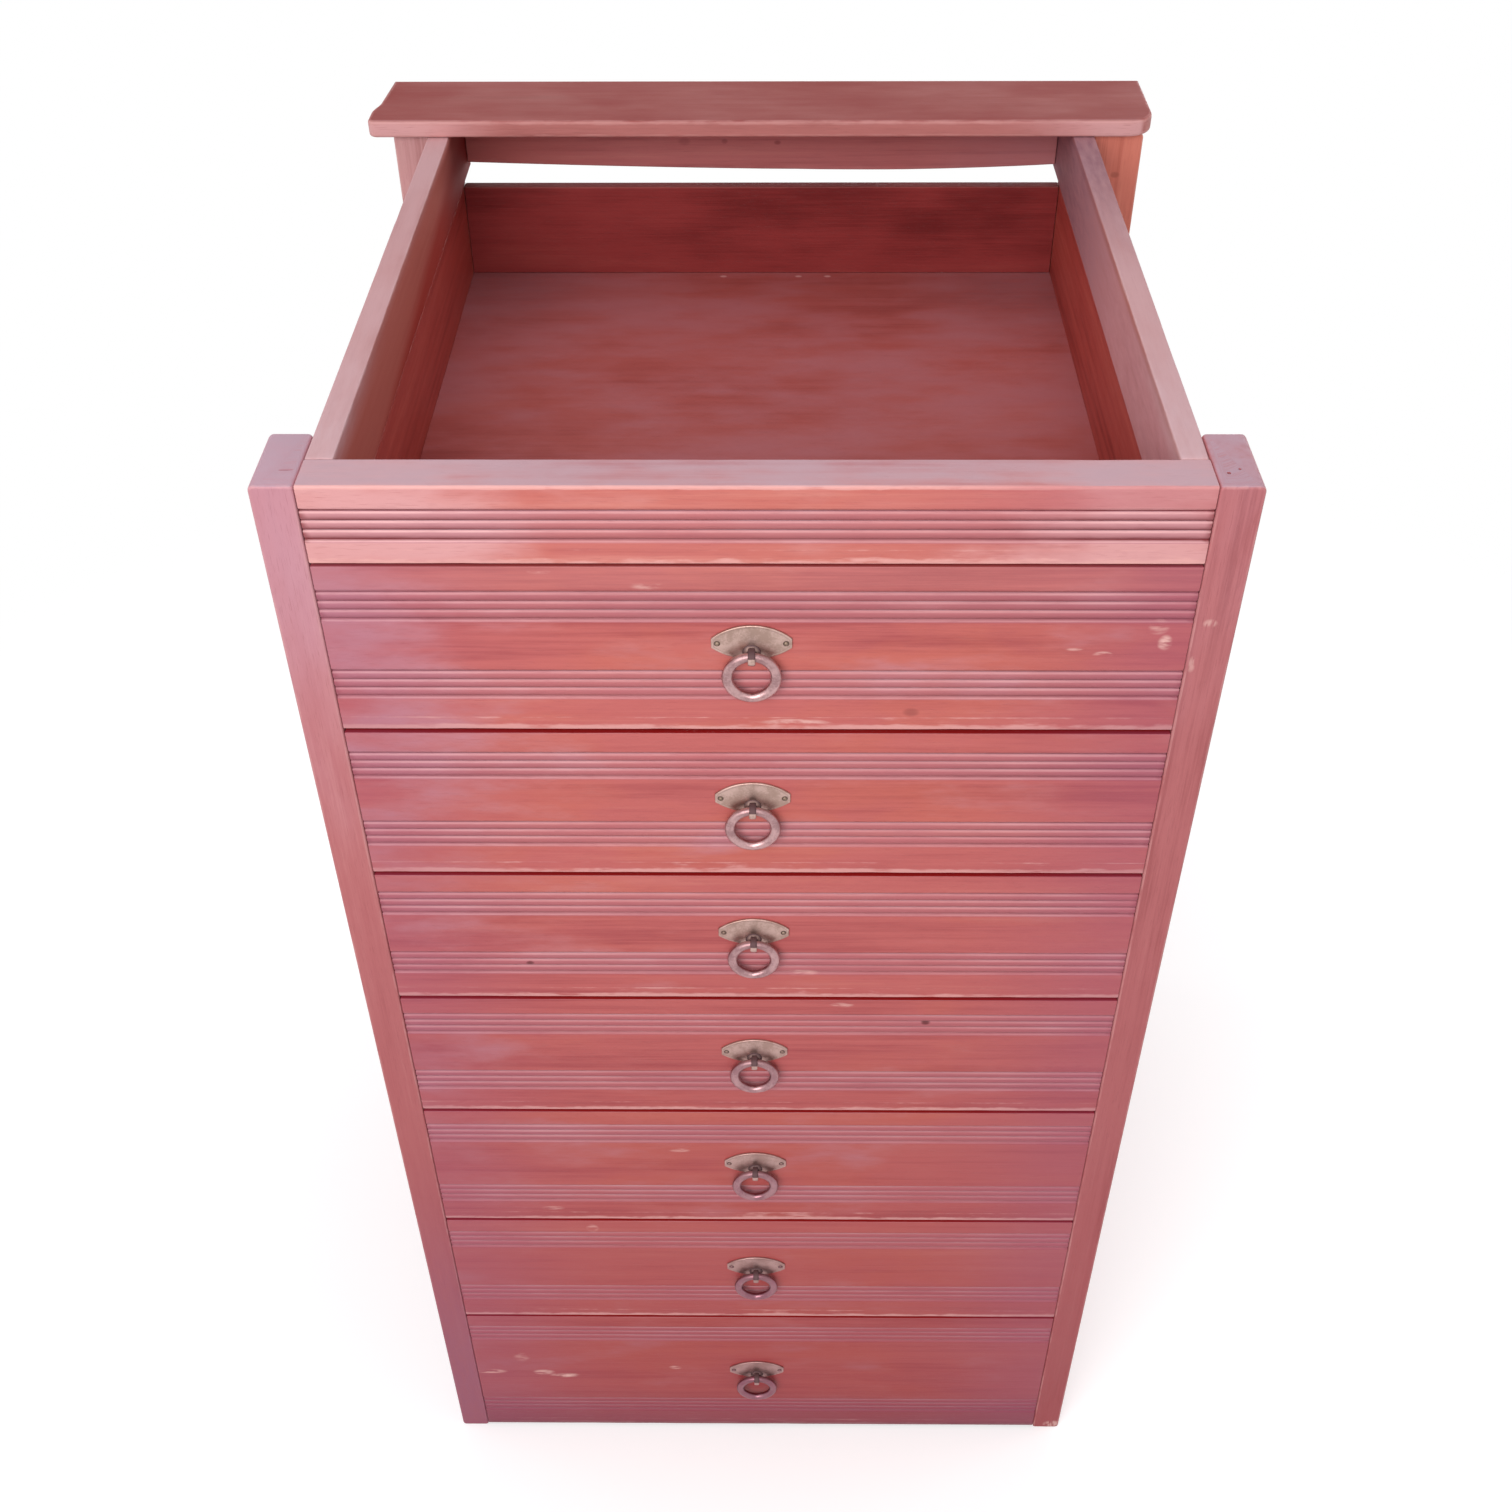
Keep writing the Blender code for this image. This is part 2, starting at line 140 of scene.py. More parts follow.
# Ring pulls
PLATE_HALF = 0.02375
PLATE_RISE = 0.0128
PLATE_DROP = 0.0118
PLATE_LIFT = 0.006
PLATE_TIP = 0.00325
PIN_PLACE = 0.02015
WIRE_RADIUS = 0.0027
WIRE_TOP = 0.0026
WIRE_LOW_GAIN = 0.0003
WIRE_SIDE_GAIN = 0.0006
RING_RADIUS = 0.0152
EYE_MIDDLE = 0.0043
EYE_WALL = 0.0010
EYE_HALF_WIDTH = 0.0022
PLATE_STEPS, PIN_STEPS, STUD_STEPS, EYE_STEPS, EYE_SIDES = 28, 16, 24, 28, 20
RING_STEPS, WIRE_STEPS = 56, 18

# Plate's rim as (inset, rise, groove), shares at which its domed field has rings, and how the field rises
PLATE_RIM = ((0.0, 0.0, 0.4), (0.0, 0.0008, 0.3), (0.00022, 0.00115, 0.0),
             (0.0006, 0.00128, 0.0), (0.0011, 0.0012, 0.1), (0.0015, 0.00102, 0.45))
FIELD_SHARES = (0.93, 0.84, 0.7, 0.52, 0.34, 0.16)
FIELD_START, FIELD_DOME = 0.00102, 0.00058

# Turned shapes on the plate as (radius, along, groove); the stud's groove values are painted shade
PIN_HEAD = ((0.0019, -0.0009, 0.7), (0.0019, -0.00125, 0.7), (0.0014, -0.0014, 0.6),
            (0.0013, -0.0017, 0.2), (0.0009, -0.002, 0.1), (0.0003, -0.00212, 0.0))
STUD = ((0.0056, -0.0011, 1.0), (0.0054, -0.0019, 0.9), (0.0043, -0.0024, 0.6),
        (0.0034, -0.0029, 0.5), (0.003, -0.0034, 0.8))

# Pits in the tops of the front posts, each as its name, place, radius and depth
NAIL_HOLES = (("nail_hole_a", (0.2596, -0.2646), 0.0014, 0.004),
              ("nail_hole_b", (0.2664, -0.2605), 0.0011, 0.004))
CRACK_PLACE = (-0.2595, -0.262)
CRACK_HALF_WIDTH, CRACK_DEPTH, CRACK_LENGTH, CRACK_TURN = 0.00055, 0.005, 9.0, 0.05

# Photographer's place and the turns of the camera in degrees, as fitted to the photograph's edges
CAMERA_PLACE = (0.0083, -1.08765, 1.5317)
CAMERA_PITCH, CAMERA_YAW, CAMERA_ROLL = 41.115, 0.6295, 0.307
CAMERA_LENS, CAMERA_SENSOR = 41.424, 36.0

# Marks, each as its middle (across, height), its half size and its strength
FRONT_KNOTS = (
    ((-0.157, 0.636), (0.0035, 0.0024), 0.85),
    ((0.119, 0.574), (0.004, 0.0026), 0.90),
    ((0.093, 0.861), (0.006, 0.004), 0.35),
)
FRONT_BRUISES = (
    ((0.186, 0.909), (0.006, 0.0014), 0.6),
    ((0.203, 0.905), (0.0068, 0.003), 1.0),
    ((0.238, 0.914), (0.005, 0.0065), 1.0),
    ((0.233, 0.925), (0.007, 0.006), 0.5),
    ((-0.123, 0.964), (0.008, 0.0022), 0.5),
    ((-0.062, 0.954), (0.012, 0.003), 0.5),
    ((0.023, 0.853), (0.024, 0.0032), 0.8),
    ((0.059, 0.593), (0.010, 0.003), 0.6),
    ((0.029, 0.627), (0.015, 0.004), 0.5),
    ((-0.061, 0.423), (0.010, 0.003), 0.5),
    ((-0.165, 0.346), (0.011, 0.0032), 0.5),
    ((-0.135, 0.318), (0.006, 0.006), 0.5),
    ((-0.241, 0.095), (0.017, 0.004), 0.7),
    ((-0.175, 0.089), (0.015, 0.0045), 0.9),
    ((-0.193, 0.094), (0.011, 0.005), 0.7),
    ((-0.211, 0.119), (0.008, 0.008), 0.4),
    ((-0.075, 0.103), (0.007, 0.0034), 0.6),
)
POST_FLECKS = (
    ((0.262, 0.928), (0.005, 0.0036), 0.6),
    ((0.256, 0.898), (0.0032, 0.007), 0.5),
    ((0.270, 0.006), (0.010, 0.007), 0.8),
)
REAR_RAIL_KNOTS = (
    ((0.013, 0.990), (0.0034, 0.0022), 0.9),
    ((-0.029, 0.991), (0.003, 0.0026), 0.7),
    ((-0.061, 0.991), (0.006, 0.004), 0.4),
)

board_numbers = itertools.count(1)


def paint(red, green, blue):
    """A colour as a painter's 0 to 255 values, in the renderer's own scale."""
    scaled = [value / 255 for value in (red, green, blue)]
    return (*[s / 12.92 if s <= 0.04045 else ((s + 0.055) / 1.055) ** 2.4 for s in scaled], 1.0)


ORANGE_STAIN = paint(204, 108, 84)
REED_MAUVE = paint(178, 114, 126)
LOW_SHADE_RED = paint(150, 28, 40)
GROOVE_SHADE_AND_GRIME = paint(128, 44, 50)
GAP_SHADE_RED = paint(158, 24, 24)
CREST_HIGHLIGHT = paint(236, 182, 182)
LOW_METAL_SHADE = paint(130, 80, 96)
WHITE = (1.0, 1.0, 1.0, 1.0)


class Tone:
    """A value that changes over a surface. Sums written on it add nodes to its recipe."""

    def __init__(self, recipe, socket):
        self.recipe = recipe
        self.socket = socket

    def sum(self, operation, first, second):
        return self.recipe.node("ShaderNodeMath", {"operation": operation}, {0: first, 1: second})

    def __add__(self, other):
        return self.sum("ADD", self, other)

    def __sub__(self, other):
        return self.sum("SUBTRACT", self, other)

    def __rsub__(self, other):
        return self.sum("SUBTRACT", other, self)

    def __mul__(self, other):
        return self.sum("MULTIPLY", self, other)

    __radd__ = __add__
    __rmul__ = __mul__

    def smooth(self, low, high):
        """0 below low, 1 above high, and a soft rise between."""
        settings = {"interpolation_type": "SMOOTHSTEP"}
        sockets = {"Value": self, "From Min": low, "From Max": high}
        return self.recipe.node("ShaderNodeMapRange", settings, sockets)

    def most(self, other):
        return self.sum("MAXIMUM", self, other)


class Recipe:
    """The nodes of one material or of the world."""

    def __init__(self, tree):
        self.tree = tree
        tree.nodes.clear()

    def node(self, kind, settings, sockets, out=0):
        """Adds a node: its settings first, then the values or links of its sockets."""
        made = self.tree.nodes.new(kind)
        for key, value in settings.items():
            setattr(made, key, value)
        for key, value in sockets.items():
            if isinstance(value, Tone):
                self.tree.links.new(value.socket, made.inputs[key])
            else:
                made.inputs[key].default_value = value
        return Tone(self, made.outputs[out]) if made.outputs else None

    def blend(self, share, first, second):
        return self.node("ShaderNodeMix", {"data_type": "RGBA"}, {0: share, 6: first, 7: second}, 2)

    def attribute(self, name):
        return self.node("ShaderNodeAttribute", {"attribute_name": name}, {}, "Fac")

    def stretched_noise(self, place, stretch, seed, detail):
        drawn = self.node("ShaderNodeVectorMath", {"operation": "MULTIPLY"}, {0: place, 1: stretch})
        sockets = {"Vector": drawn, "W": seed, "Scale": 1.0, "Detail": detail, "Roughness": 0.55}
        return self.node("ShaderNodeTexNoise", {"noise_dimensions": "4D"}, sockets)


def new_recipe(name):
    material = bpy.data.materials.new(name)
    material.use_nodes = True
    return material, Recipe(material.node_tree)


def spot(across, height, middle, half_size):
    """A soft round or long mark on a face."""
    first = (across - middle[0]) * (1 / half_size[0])
    second = (height - middle[1]) * (1 / half_size[1])
    return 1 - (first * first + second * second).smooth(0.05, 1.0)


def stained_wood(name, grain, tones, worn, haze, dust, haze_mask=None, dust_share=0.9, wear=0.5,
                 orange_share=0.0, low_shade=0.0, shine=0.45, gloss=0.3, bold=1.0, cloud=0.0, patchy=0.6,
                 marks=None):
    """Old stain in three tones over a fine straight grain, rubbed off at the arrises and dulled on top, with
    painted shade in grooves, gaps and towards the floor, and painted highlights on the reed crests.
    """
    dark, middle, light, worn, haze, dust = (paint(*stain) for stain in (*tones, worn, haze, dust))
    material, recipe = new_recipe(name)
    place = recipe.node("ShaderNodeTexCoord", {}, {}, "Object")
    x, y, z = (recipe.node("ShaderNodeSeparateXYZ", {}, {0: place}, axis) for axis in "XYZ")
    board = recipe.attribute("board")
    edge = recipe.attribute("edge")
    groove = recipe.attribute("groove")
    reed = recipe.attribute("reed")

    def grain_noise(along, across, shift, detail=3.0):
        stretch = [across] * 3
        stretch[grain] = along
        return recipe.stretched_noise(place, stretch, board * 37.0 + shift, detail)

    figure = grain_noise(1.6, 24.0, 0.0)
    streak = grain_noise(5.0, 190.0, 5.0)
    fibre = grain_noise(26.0, 1100.0, 9.0, 2.0)
    blotch = grain_noise(6.0, 11.0, 13.0)
    mottle = grain_noise(15.0, 44.0, 25.0, 4.0)
    scuff = grain_noise(60.0, 260.0, 17.0)
    pores = grain_noise(90.0, 2600.0, 21.0, 1.0).smooth(0.60, 0.72)

    tone = 0.5 + ((figure - 0.5) * 1.3 + (streak - 0.5)) * bold + (fibre - 0.5) * 0.35
    tone = tone + (board - 0.5) * 0.16 + (blotch - 0.5) * cloud + (mottle - 0.5) * 0.3
    colour = recipe.blend(tone.smooth(0.14, 0.56), dark, middle)
    colour = recipe.blend(tone.smooth(0.52, 0.95), colour, light)
    if orange_share:
        warm = (blotch + (figure - 0.5) * 0.5 + (mottle - 0.5) * 0.5).smooth(0.42, 0.66) * orange_share
        colour = recipe.blend(warm, colour, ORANGE_STAIN)
    patches = (mottle - 0.52 + (blotch - 0.5) * 0.7) * patchy
    hazy = haze_mask(x, y, z) if haze_mask else 0.0
    veil = (hazy * (0.55 + blotch * 0.9) + patches).smooth(0.0, 1.0)
    colour = recipe.blend(veil, colour, haze)
    colour = recipe.blend(pores * 0.30, colour, dark)
    mauve = 0.74 - z.smooth(0.15, 0.8) * 0.24 + (blotch - 0.5) * 0.8
    colour = recipe.blend(reed.smooth(0.0, 1.0) * mauve, colour, REED_MAUVE)
    # Painted shade: darker and redder towards the floor
    if low_shade:
        colour = recipe.blend((1 - z.smooth(-0.1, 1.0)) * low_shade, colour, LOW_SHADE_RED)
    up = recipe.node("ShaderNodeNewGeometry", {}, {}, "Normal")
    up = recipe.node("ShaderNodeSeparateXYZ", {}, {0: up}, "Z").smooth(0.55, 0.95)
    settled = (blotch - 0.5) * 0.9 + ((streak - 0.5) * 0.6 + (mottle - 0.5) * 1.3) * bold
    dusty = up * (0.85 + settled).smooth(0.2, 1.1) * dust_share
    colour = recipe.blend(dusty, colour, dust)
    # crisp sets how strongly the painted groove shade and crest highlights show, by height and across
    crisp = z.smooth(0.955, 0.975) * 0.3 + z.smooth(0.05, 0.9) * 0.52 + 0.18
    crisp = crisp * ((x * x).smooth(0.002, 0.04) * 0.45 + 0.6)
    # Painted shade, with some grime, in the reed grooves, on their lower flanks, at the reed ends and in the
    # gaps
    shade_and_grime = groove * (0.8 + (scuff - 0.5) * 0.5)
    colour = recipe.blend(shade_and_grime.smooth(0.05, 0.95) * crisp, colour, GROOVE_SHADE_AND_GRIME)
    # Painted shade, deep red, on the faces inside the gaps between boards
    colour = recipe.blend((groove - 1.0).smooth(0.1, 0.8), colour, GAP_SHADE_RED)
    # Painted highlight along the reeds' upper crests, carried by reed values above 1
    crest = (reed - 1.0).smooth(0.1, 0.95) * (0.54 + (blotch - 0.5) * 0.8 + (mottle - 0.5) * 1.5) * crisp
    colour = recipe.blend(crest, colour, CREST_HIGHLIGHT)
    rubbed = (edge + (scuff - 0.5) * 0.9 + (blotch - 0.5) * 0.5).smooth(0.66, 0.98) * wear
    colour = recipe.blend(rubbed, colour, worn)
    if marks:
        for mask, tint in marks(x, y, z, scuff):
            colour = recipe.blend(mask, colour, paint(*tint))

    height = (fibre - 0.5) * 0.5 + (streak - 0.5) * 0.8 - pores * 0.8 - (scuff - 0.5) * 0.25
    bump = recipe.node("ShaderNodeBump", {}, {"Height": height, "Strength": 0.35, "Distance": 0.0004})
    rough = shine + (blotch - 0.5) * 0.22 + rubbed * 0.12 + dusty * 0.15 + (scuff - 0.5) * 0.12
    shader = recipe.node("ShaderNodeBsdfPrincipled", {}, {
        "Base Color": colour, "Roughness": rough, "Normal": bump, "Specular IOR Level": gloss})
    recipe.node("ShaderNodeOutputMaterial", {}, {"Surface": shader})
    return material


def aged_metal(name, bright, dull, tarnish_and_shade, rough, low_metal_shade):
    """Cast pull metal, dulled in patches, dark in its hollows and where hands don't reach from tarnish and
    painted shade, and darker the lower it hangs as painted shade.
    """
    bright, dull, tarnish_and_shade = (paint(*stain) for stain in (bright, dull, tarnish_and_shade))
    material, recipe = new_recipe(name)
    place = recipe.node("ShaderNodeTexCoord", {}, {}, "Object")
    board = recipe.attribute("board")
    groove = recipe.attribute("groove")
    patch = recipe.stretched_noise(place, (120.0,) * 3, board * 23.0, 3.0)
    speck = recipe.stretched_noise(place, (900.0,) * 3, board * 23.0 + 4.0, 2.0)
    colour = recipe.blend((patch + (speck - 0.5) * 0.4).smooth(0.34, 0.66), dull, bright)
    height = recipe.node("ShaderNodeSeparateXYZ", {}, {0: place}, "Z")
    # Painted shade: darker the lower the pull hangs
    colour = recipe.blend((1 - height.smooth(0.1, 0.85)) * low_metal_shade, colour, LOW_METAL_SHADE)
    # Dark in the hollows: tarnish, with painted shade on the stud, the eye and inside the ring
    dirt_and_shade = (groove + (patch - 0.5) * 0.6).smooth(0.25, 0.9)
    colour = recipe.blend(dirt_and_shade, colour, tarnish_and_shade)
    bump = recipe.node("ShaderNodeBump", {}, {
        "Height": (patch - 0.5) * 0.6 + (speck - 0.5) * 0.5, "Strength": 0.25, "Distance": 0.0003})
    shader = recipe.node("ShaderNodeBsdfPrincipled", {}, {
        "Base Color": colour, "Metallic": 1.0 - dirt_and_shade * 0.5, "Normal": bump,
        "Roughness": rough + (patch - 0.5) * 0.25 + dirt_and_shade * 0.2})
    recipe.node("ShaderNodeOutputMaterial", {}, {"Surface": shader})
    return material


def placed(name, data):
    """Puts a mesh, a lamp or the camera into the scene."""
    made = bpy.data.objects.new(name, data)
    bpy.context.scene.collection.objects.link(made)
    return made


class Blank:
    """A piece being shaped: its mesh, with the wear, groove, reed and board marks that its finish reads."""

    def __init__(self):
        self.board_mark = next(board_numbers) * BOARD_SHARE % 1.0
        self.mesh = bmesh.new()
        layers = self.mesh.verts.layers.float
        self.edge = layers.new("edge")
        self.groove = layers.new("groove")
        self.reed = layers.new("reed")
        self.board = layers.new("board")

    def point(self, place, edge=0.0, groove=0.0, reed=0.0):
        vert = self.mesh.verts.new(place)
        vert[self.edge] = edge
        vert[self.groove] = groove
        vert[self.reed] = reed
        vert[self.board] = self.board_mark
        return vert

    def face(self, verts, finish=0):
        made = self.mesh.faces.new(verts)
        made.material_index = finish
        made.smooth = True
        return made

    def strips(self, rings, finish=0):
        """Joins rings of points, each the same length, with faces."""
        for first, second in zip(rings, rings[1:]):
            for index in range(len(first)):
                after = (index + 1) % len(first)
                self.face((first[index], first[after], second[after], second[index]), finish)

    def closed(self, rings, finish=0):
        """Joins rings of points and closes both ends."""
        self.strips(rings, finish)
        self.face(rings[0], finish)
        self.face(rings[-1], finish)

    def finished(self, name, finishes, body, slot, nodes=()):
        """Turns the shape into a piece that rides on a body and stands for CAD nodes."""
        bmesh.ops.recalc_face_normals(self.mesh, faces=self.mesh.faces)
        data = bpy.data.meshes.new(name)
        self.mesh.to_mesh(data)
        self.mesh.free()
        data.set_sharp_from_angle(angle=math.radians(50))
        for finish in finishes:
            data.materials.append(finish)
        made = placed(name, data)
        flat = made.modifiers.new("flat_faces", "WEIGHTED_NORMAL")
        flat.keep_sharp = True
        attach(made, body)
        if nodes:
            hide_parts(*nodes)
        return made


def nick(place, seed):
    """How deep an arris is nicked at a point."""
    value = noise.noise(Vector(place) * NICK_PITCH + Vector((seed * 91.0, seed * 57.0, 0.0)))
    return NICK_DEPTH * max(0.0, value - 0.12)


def lines_along(low, high, ease, step):
    """Places of a board's mesh lines along one direction: close at its arrises, wider between."""
    half = (high - low) / 2
    near = sorted({0.0, ease * 0.3, ease, min(ease + EDGE_FADE, half)})
    span = high - low - 2 * near[-1]
    count = max(1, math.ceil(span / step)) if span > 1e-6 else 0
    middle = [low + near[-1] + span * index / count for index in range(1, count)]
    ends = [high - value for value in reversed(near)]
    lines = [low + value for value in near] + middle + ends
    return [value for index, value in enumerate(lines) if index == 0 or value - lines[index - 1] > 1e-6]


def eased_board(low, high, ease, step=LINE_STEP):
    """A board whose arrises are rounded over and nicked by use."""
    blank = Blank()
    lines = [lines_along(low[axis], high[axis], ease, step) for axis in range(3)]
    last = [len(places) - 1 for places in lines]
    verts = {}

    def corner(index):
        if index in verts:
            return verts[index]
        flat = Vector([lines[axis][index[axis]] for axis in range(3)])
        inner = Vector([min(max(flat[a], low[a] + ease), high[a] - ease) for a in range(3)])
        out = flat - inner
        gaps = sorted(min(flat[a] - low[a], high[a] - flat[a]) for a in range(3))
        reach = ease
        if sum(abs(value) > 1e-7 for value in out) > 1:
            reach -= min(nick(flat, blank.board_mark), ease * 0.8)
        place = inner + out.normalized() * reach
        verts[index] = blank.point(place, max(0.0, 1.0 - gaps[1] / EDGE_FADE))
        return verts[index]

    for axis in range(3):
        first, second = (a for a in range(3) if a != axis)
        for end in (0, last[axis]):
            for i in range(last[first]):
                for j in range(last[second]):
                    loop = []
                    for di, dj in ((0, 0), (1, 0), (1, 1), (0, 1)):
                        index = [0, 0, 0]
                        index[axis], index[first], index[second] = end, i + di, j + dj
                        loop.append(corner(tuple(index)))
                    blank.face(loop)
    return blank


def turned_out(outline):
    """Outward direction at each point of a closed outline that runs anticlockwise, stretched at corners."""
    result = []
    for index, here in enumerate(outline):
        before = Vector(outline[index - 1])
        after = Vector(outline[(index + 1) % len(outline)])
        first = (Vector(here) - before).normalized()
        second = (after - Vector(here)).normalized()
        sides = [Vector((run.y, -run.x)) for run in (first, second)]
        middle = (sides[0] + sides[1]).normalized()
        result.append(middle / max(0.35, middle.dot(sides[0])))
    return result


def eased_outline(outline, low, high, ease, place, fade=0.008):
    """A board cut to an outline, with rounded arrises. place turns (across, up, through) into a point."""
    blank = Blank()
    out = turned_out(outline)
    steps = [math.pi / 2 * step / ROUND_STEPS for step in range(ROUND_STEPS + 1)]
    plain = ease + min(fade, (high - low) / 2 - ease - 0.0005)
    levels = [(ease + fade, low, 0.0)]
    levels += [(ease * (1 - math.sin(a)), low + ease * (1 - math.cos(a)), 0.85) for a in steps]
    levels += [(0.0, low + plain, 0.0), (0.0, high - plain, 0.0)]
    levels += [(ease * (1 - math.cos(a)), high - ease * (1 - math.sin(a)), 0.85) for a in steps]
    levels += [(ease + fade, high, 0.0)]
    rings = []
    for inset, through, edge in levels:
        ring = []
        for here, away in zip(outline, out):
            flat = Vector(here) - away * inset
            if edge:
                flat -= away * nick((flat.x, flat.y, through), blank.board_mark) * 0.6
            ring.append(blank.point(place(flat.x, flat.y, through), edge))
        rings.append(ring)
    blank.closed(rings)
    return blank


def reed_band(top):
    """Section of one band of reeds from its top down, as (depth, height, edge, groove, reed)."""
    points = [(0.0, top + BAND_FADE, 0.0, 0.0, 0.0), (0.0001, top, 0.3, 0.0, 0.3)]
    points.append((REED_DEPTH, top - GROOVE_LIP, 0.0, 1.0, 1.0))
    for reed in range(REED_COUNT):
        start = top - GROOVE_LIP - reed * REED_PITCH
        for step in range(1, REED_STEPS + 1):
            angle = math.pi * step / REED_STEPS
            share = 1 - math.sin(angle) ** 0.8
            height = start - REED_PITCH * (1 - math.cos(angle)) / 2
            # Painted highlight on each reed's upper crest, carried as reed values above 1; painted shade,
            # with some grime, in the grooves and on the lower flank
            crest = CREST_LIGHT.get(step, 0.0)
            under = max(0.0, step / REED_STEPS - 0.35) / 0.5
            shade_and_grime = 0.0 if crest else max(under, share ** 0.8)
            points.append((REED_DEPTH * share, height, 0.0, shade_and_grime, 1.0 + crest))
    # The band's lower lip takes part of the painted crest highlight
    points.append((0.0001, top - BAND_HEIGHT, 0.0, 0.0, 1.7))
    points.append((0.0, top - BAND_HEIGHT - BAND_FADE, 0.0, 0.0, 0.0))
    return points


def rounded_corner(depth, height, ease, start, wear, gap_shades=(0.0, 0.0)):
    """Quarter round of a section, from an angle on, with its wear and the painted gap shade at its two ends.
    """
    points = []
    for step in range(ROUND_STEPS + 1):
        share = step / ROUND_STEPS
        angle = start + math.pi / 2 * share
        shade_and_grime = gap_shades[0] * (1 - share) + gap_shades[1] * share
        points.append((depth + ease * math.cos(angle), height + ease * math.sin(angle), wear, shade_and_grime, 0.0))
    return points


def front_section(thickness, height, band_tops, eases, wears, top_gap_shade):
    """Section of a reeded board: its front from the top down, then underneath, behind and on top."""
    (top_ease, low_ease), (top_wear, low_wear) = eases, wears
    inset = 0.001
    margin = 0.004
    section = rounded_corner(top_ease, height - top_ease, top_ease, math.pi / 2, top_wear, (top_gap_shade, 0.0))
    section.append((0.0, height - top_ease - TOP_FADE, 0.0, 0.0, 0.0))
    for top in band_tops:
        section += reed_band(top)
    section += [(0.0, low_ease + rise, low_wear * share, 0.0, 0.0) for rise, share in LOW_WEAR]
    section += rounded_corner(low_ease, low_ease, low_ease, math.pi, low_wear, (0.0, GAP_SHADE))
    back = thickness - BACK_EASE
    section += [(low_ease + inset, 0.0, 0.0, GAP_SHADE, 0.0), (back - inset, 0.0, 0.0, GAP_SHADE, 0.0)]
    section += rounded_corner(back, BACK_EASE, BACK_EASE, 1.5 * math.pi, 0.1)
    section += [(thickness, margin, 0.0, 0.0, 0.0), (thickness, height - margin, 0.0, 0.0, 0.0)]
    section += rounded_corner(back, height - BACK_EASE, BACK_EASE, 0.0, 0.1)
    # Painted gap shade on the front part of the top edge, the part that shows in the gap
    depths = ((back - inset, 0.5), (GAP_SHOWN + 3 * inset, 0.5), (GAP_SHOWN, 1.0), (top_ease + inset, 1.0))
    section += [(depth, height, 0.0, top_gap_shade * share, 0.0) for depth, share in depths]
    return section


def reeded_front(low, high, band_tops, eases, wears, top_gap_shade, widen=0.0):
    """A board with bands of reeds along its face, cut to the box of its CAD node."""
    blank = Blank()
    height = high.z - low.z
    section = front_section(high.y - low.y, height, band_tops, eases, wears, top_gap_shade)
    out = turned_out([(depth, up) for depth, up, _, _, _ in section])
    rings = []
    for across in lines_along(low.x - widen, high.x + widen, END_EASE, FRONT_STEP):
        from_end = min(across - low.x, high.x - across) + widen
        shrink = max(0.0, END_EASE - from_end)
        end_wear = max(0.0, END_WEAR - from_end / EDGE_FADE)
        ring = []
        for (depth, up, edge, groove, reed), away in zip(section, out):
            cut = shrink
            if up > height - eases[0] or up < eases[1]:
                cut += nick((across, 0.0, low.z + up), blank.board_mark) * 0.5
            # Painted shade darkens the reeds' ends beside the posts
            if reed:
                groove = max(groove, 0.9 - from_end / REED_END)
            place = (across, low.y + depth - away.x * cut, low.z + up - away.y * cut)
            ring.append(blank.point(place, max(edge, end_wear), groove, reed))
        rings.append(ring)
    blank.closed(rings)
    return blank


def lens_outline(count):
    """Face of a pull plate: two shallow arcs that meet at blunt tips, anticlockwise."""
    points = []
    for sign, bulge in ((1, PLATE_RISE), (-1, PLATE_DROP)):
        rise = bulge - PLATE_TIP
        radius = (PLATE_HALF * PLATE_HALF + rise * rise) / (2 * rise)
        spread = math.asin(PLATE_HALF / radius)
        for step in range(count + 1):
            angle = spread * (1 - 2 * step / count)
            up = radius * math.cos(angle) - radius + bulge
            points.append((sign * radius * math.sin(angle), sign * up))
    return points


def turned(blank, profile, centre, axis, count):
    """Rings of a turned shape: (radius, along, groove) points spun about an axis of the world."""
    first, second = (a for a in range(3) if a != axis)
    rings = []
    for radius, along, groove in profile:
        ring = []
        for step in range(count):
            angle = 2 * math.pi * step / count
            place = Vector(centre)
            place[axis] += along
            place[first] += radius * math.cos(angle)
            place[second] += radius * math.sin(angle)
            ring.append(blank.point(place, 0.0, groove))
        rings.append(ring)
    return rings


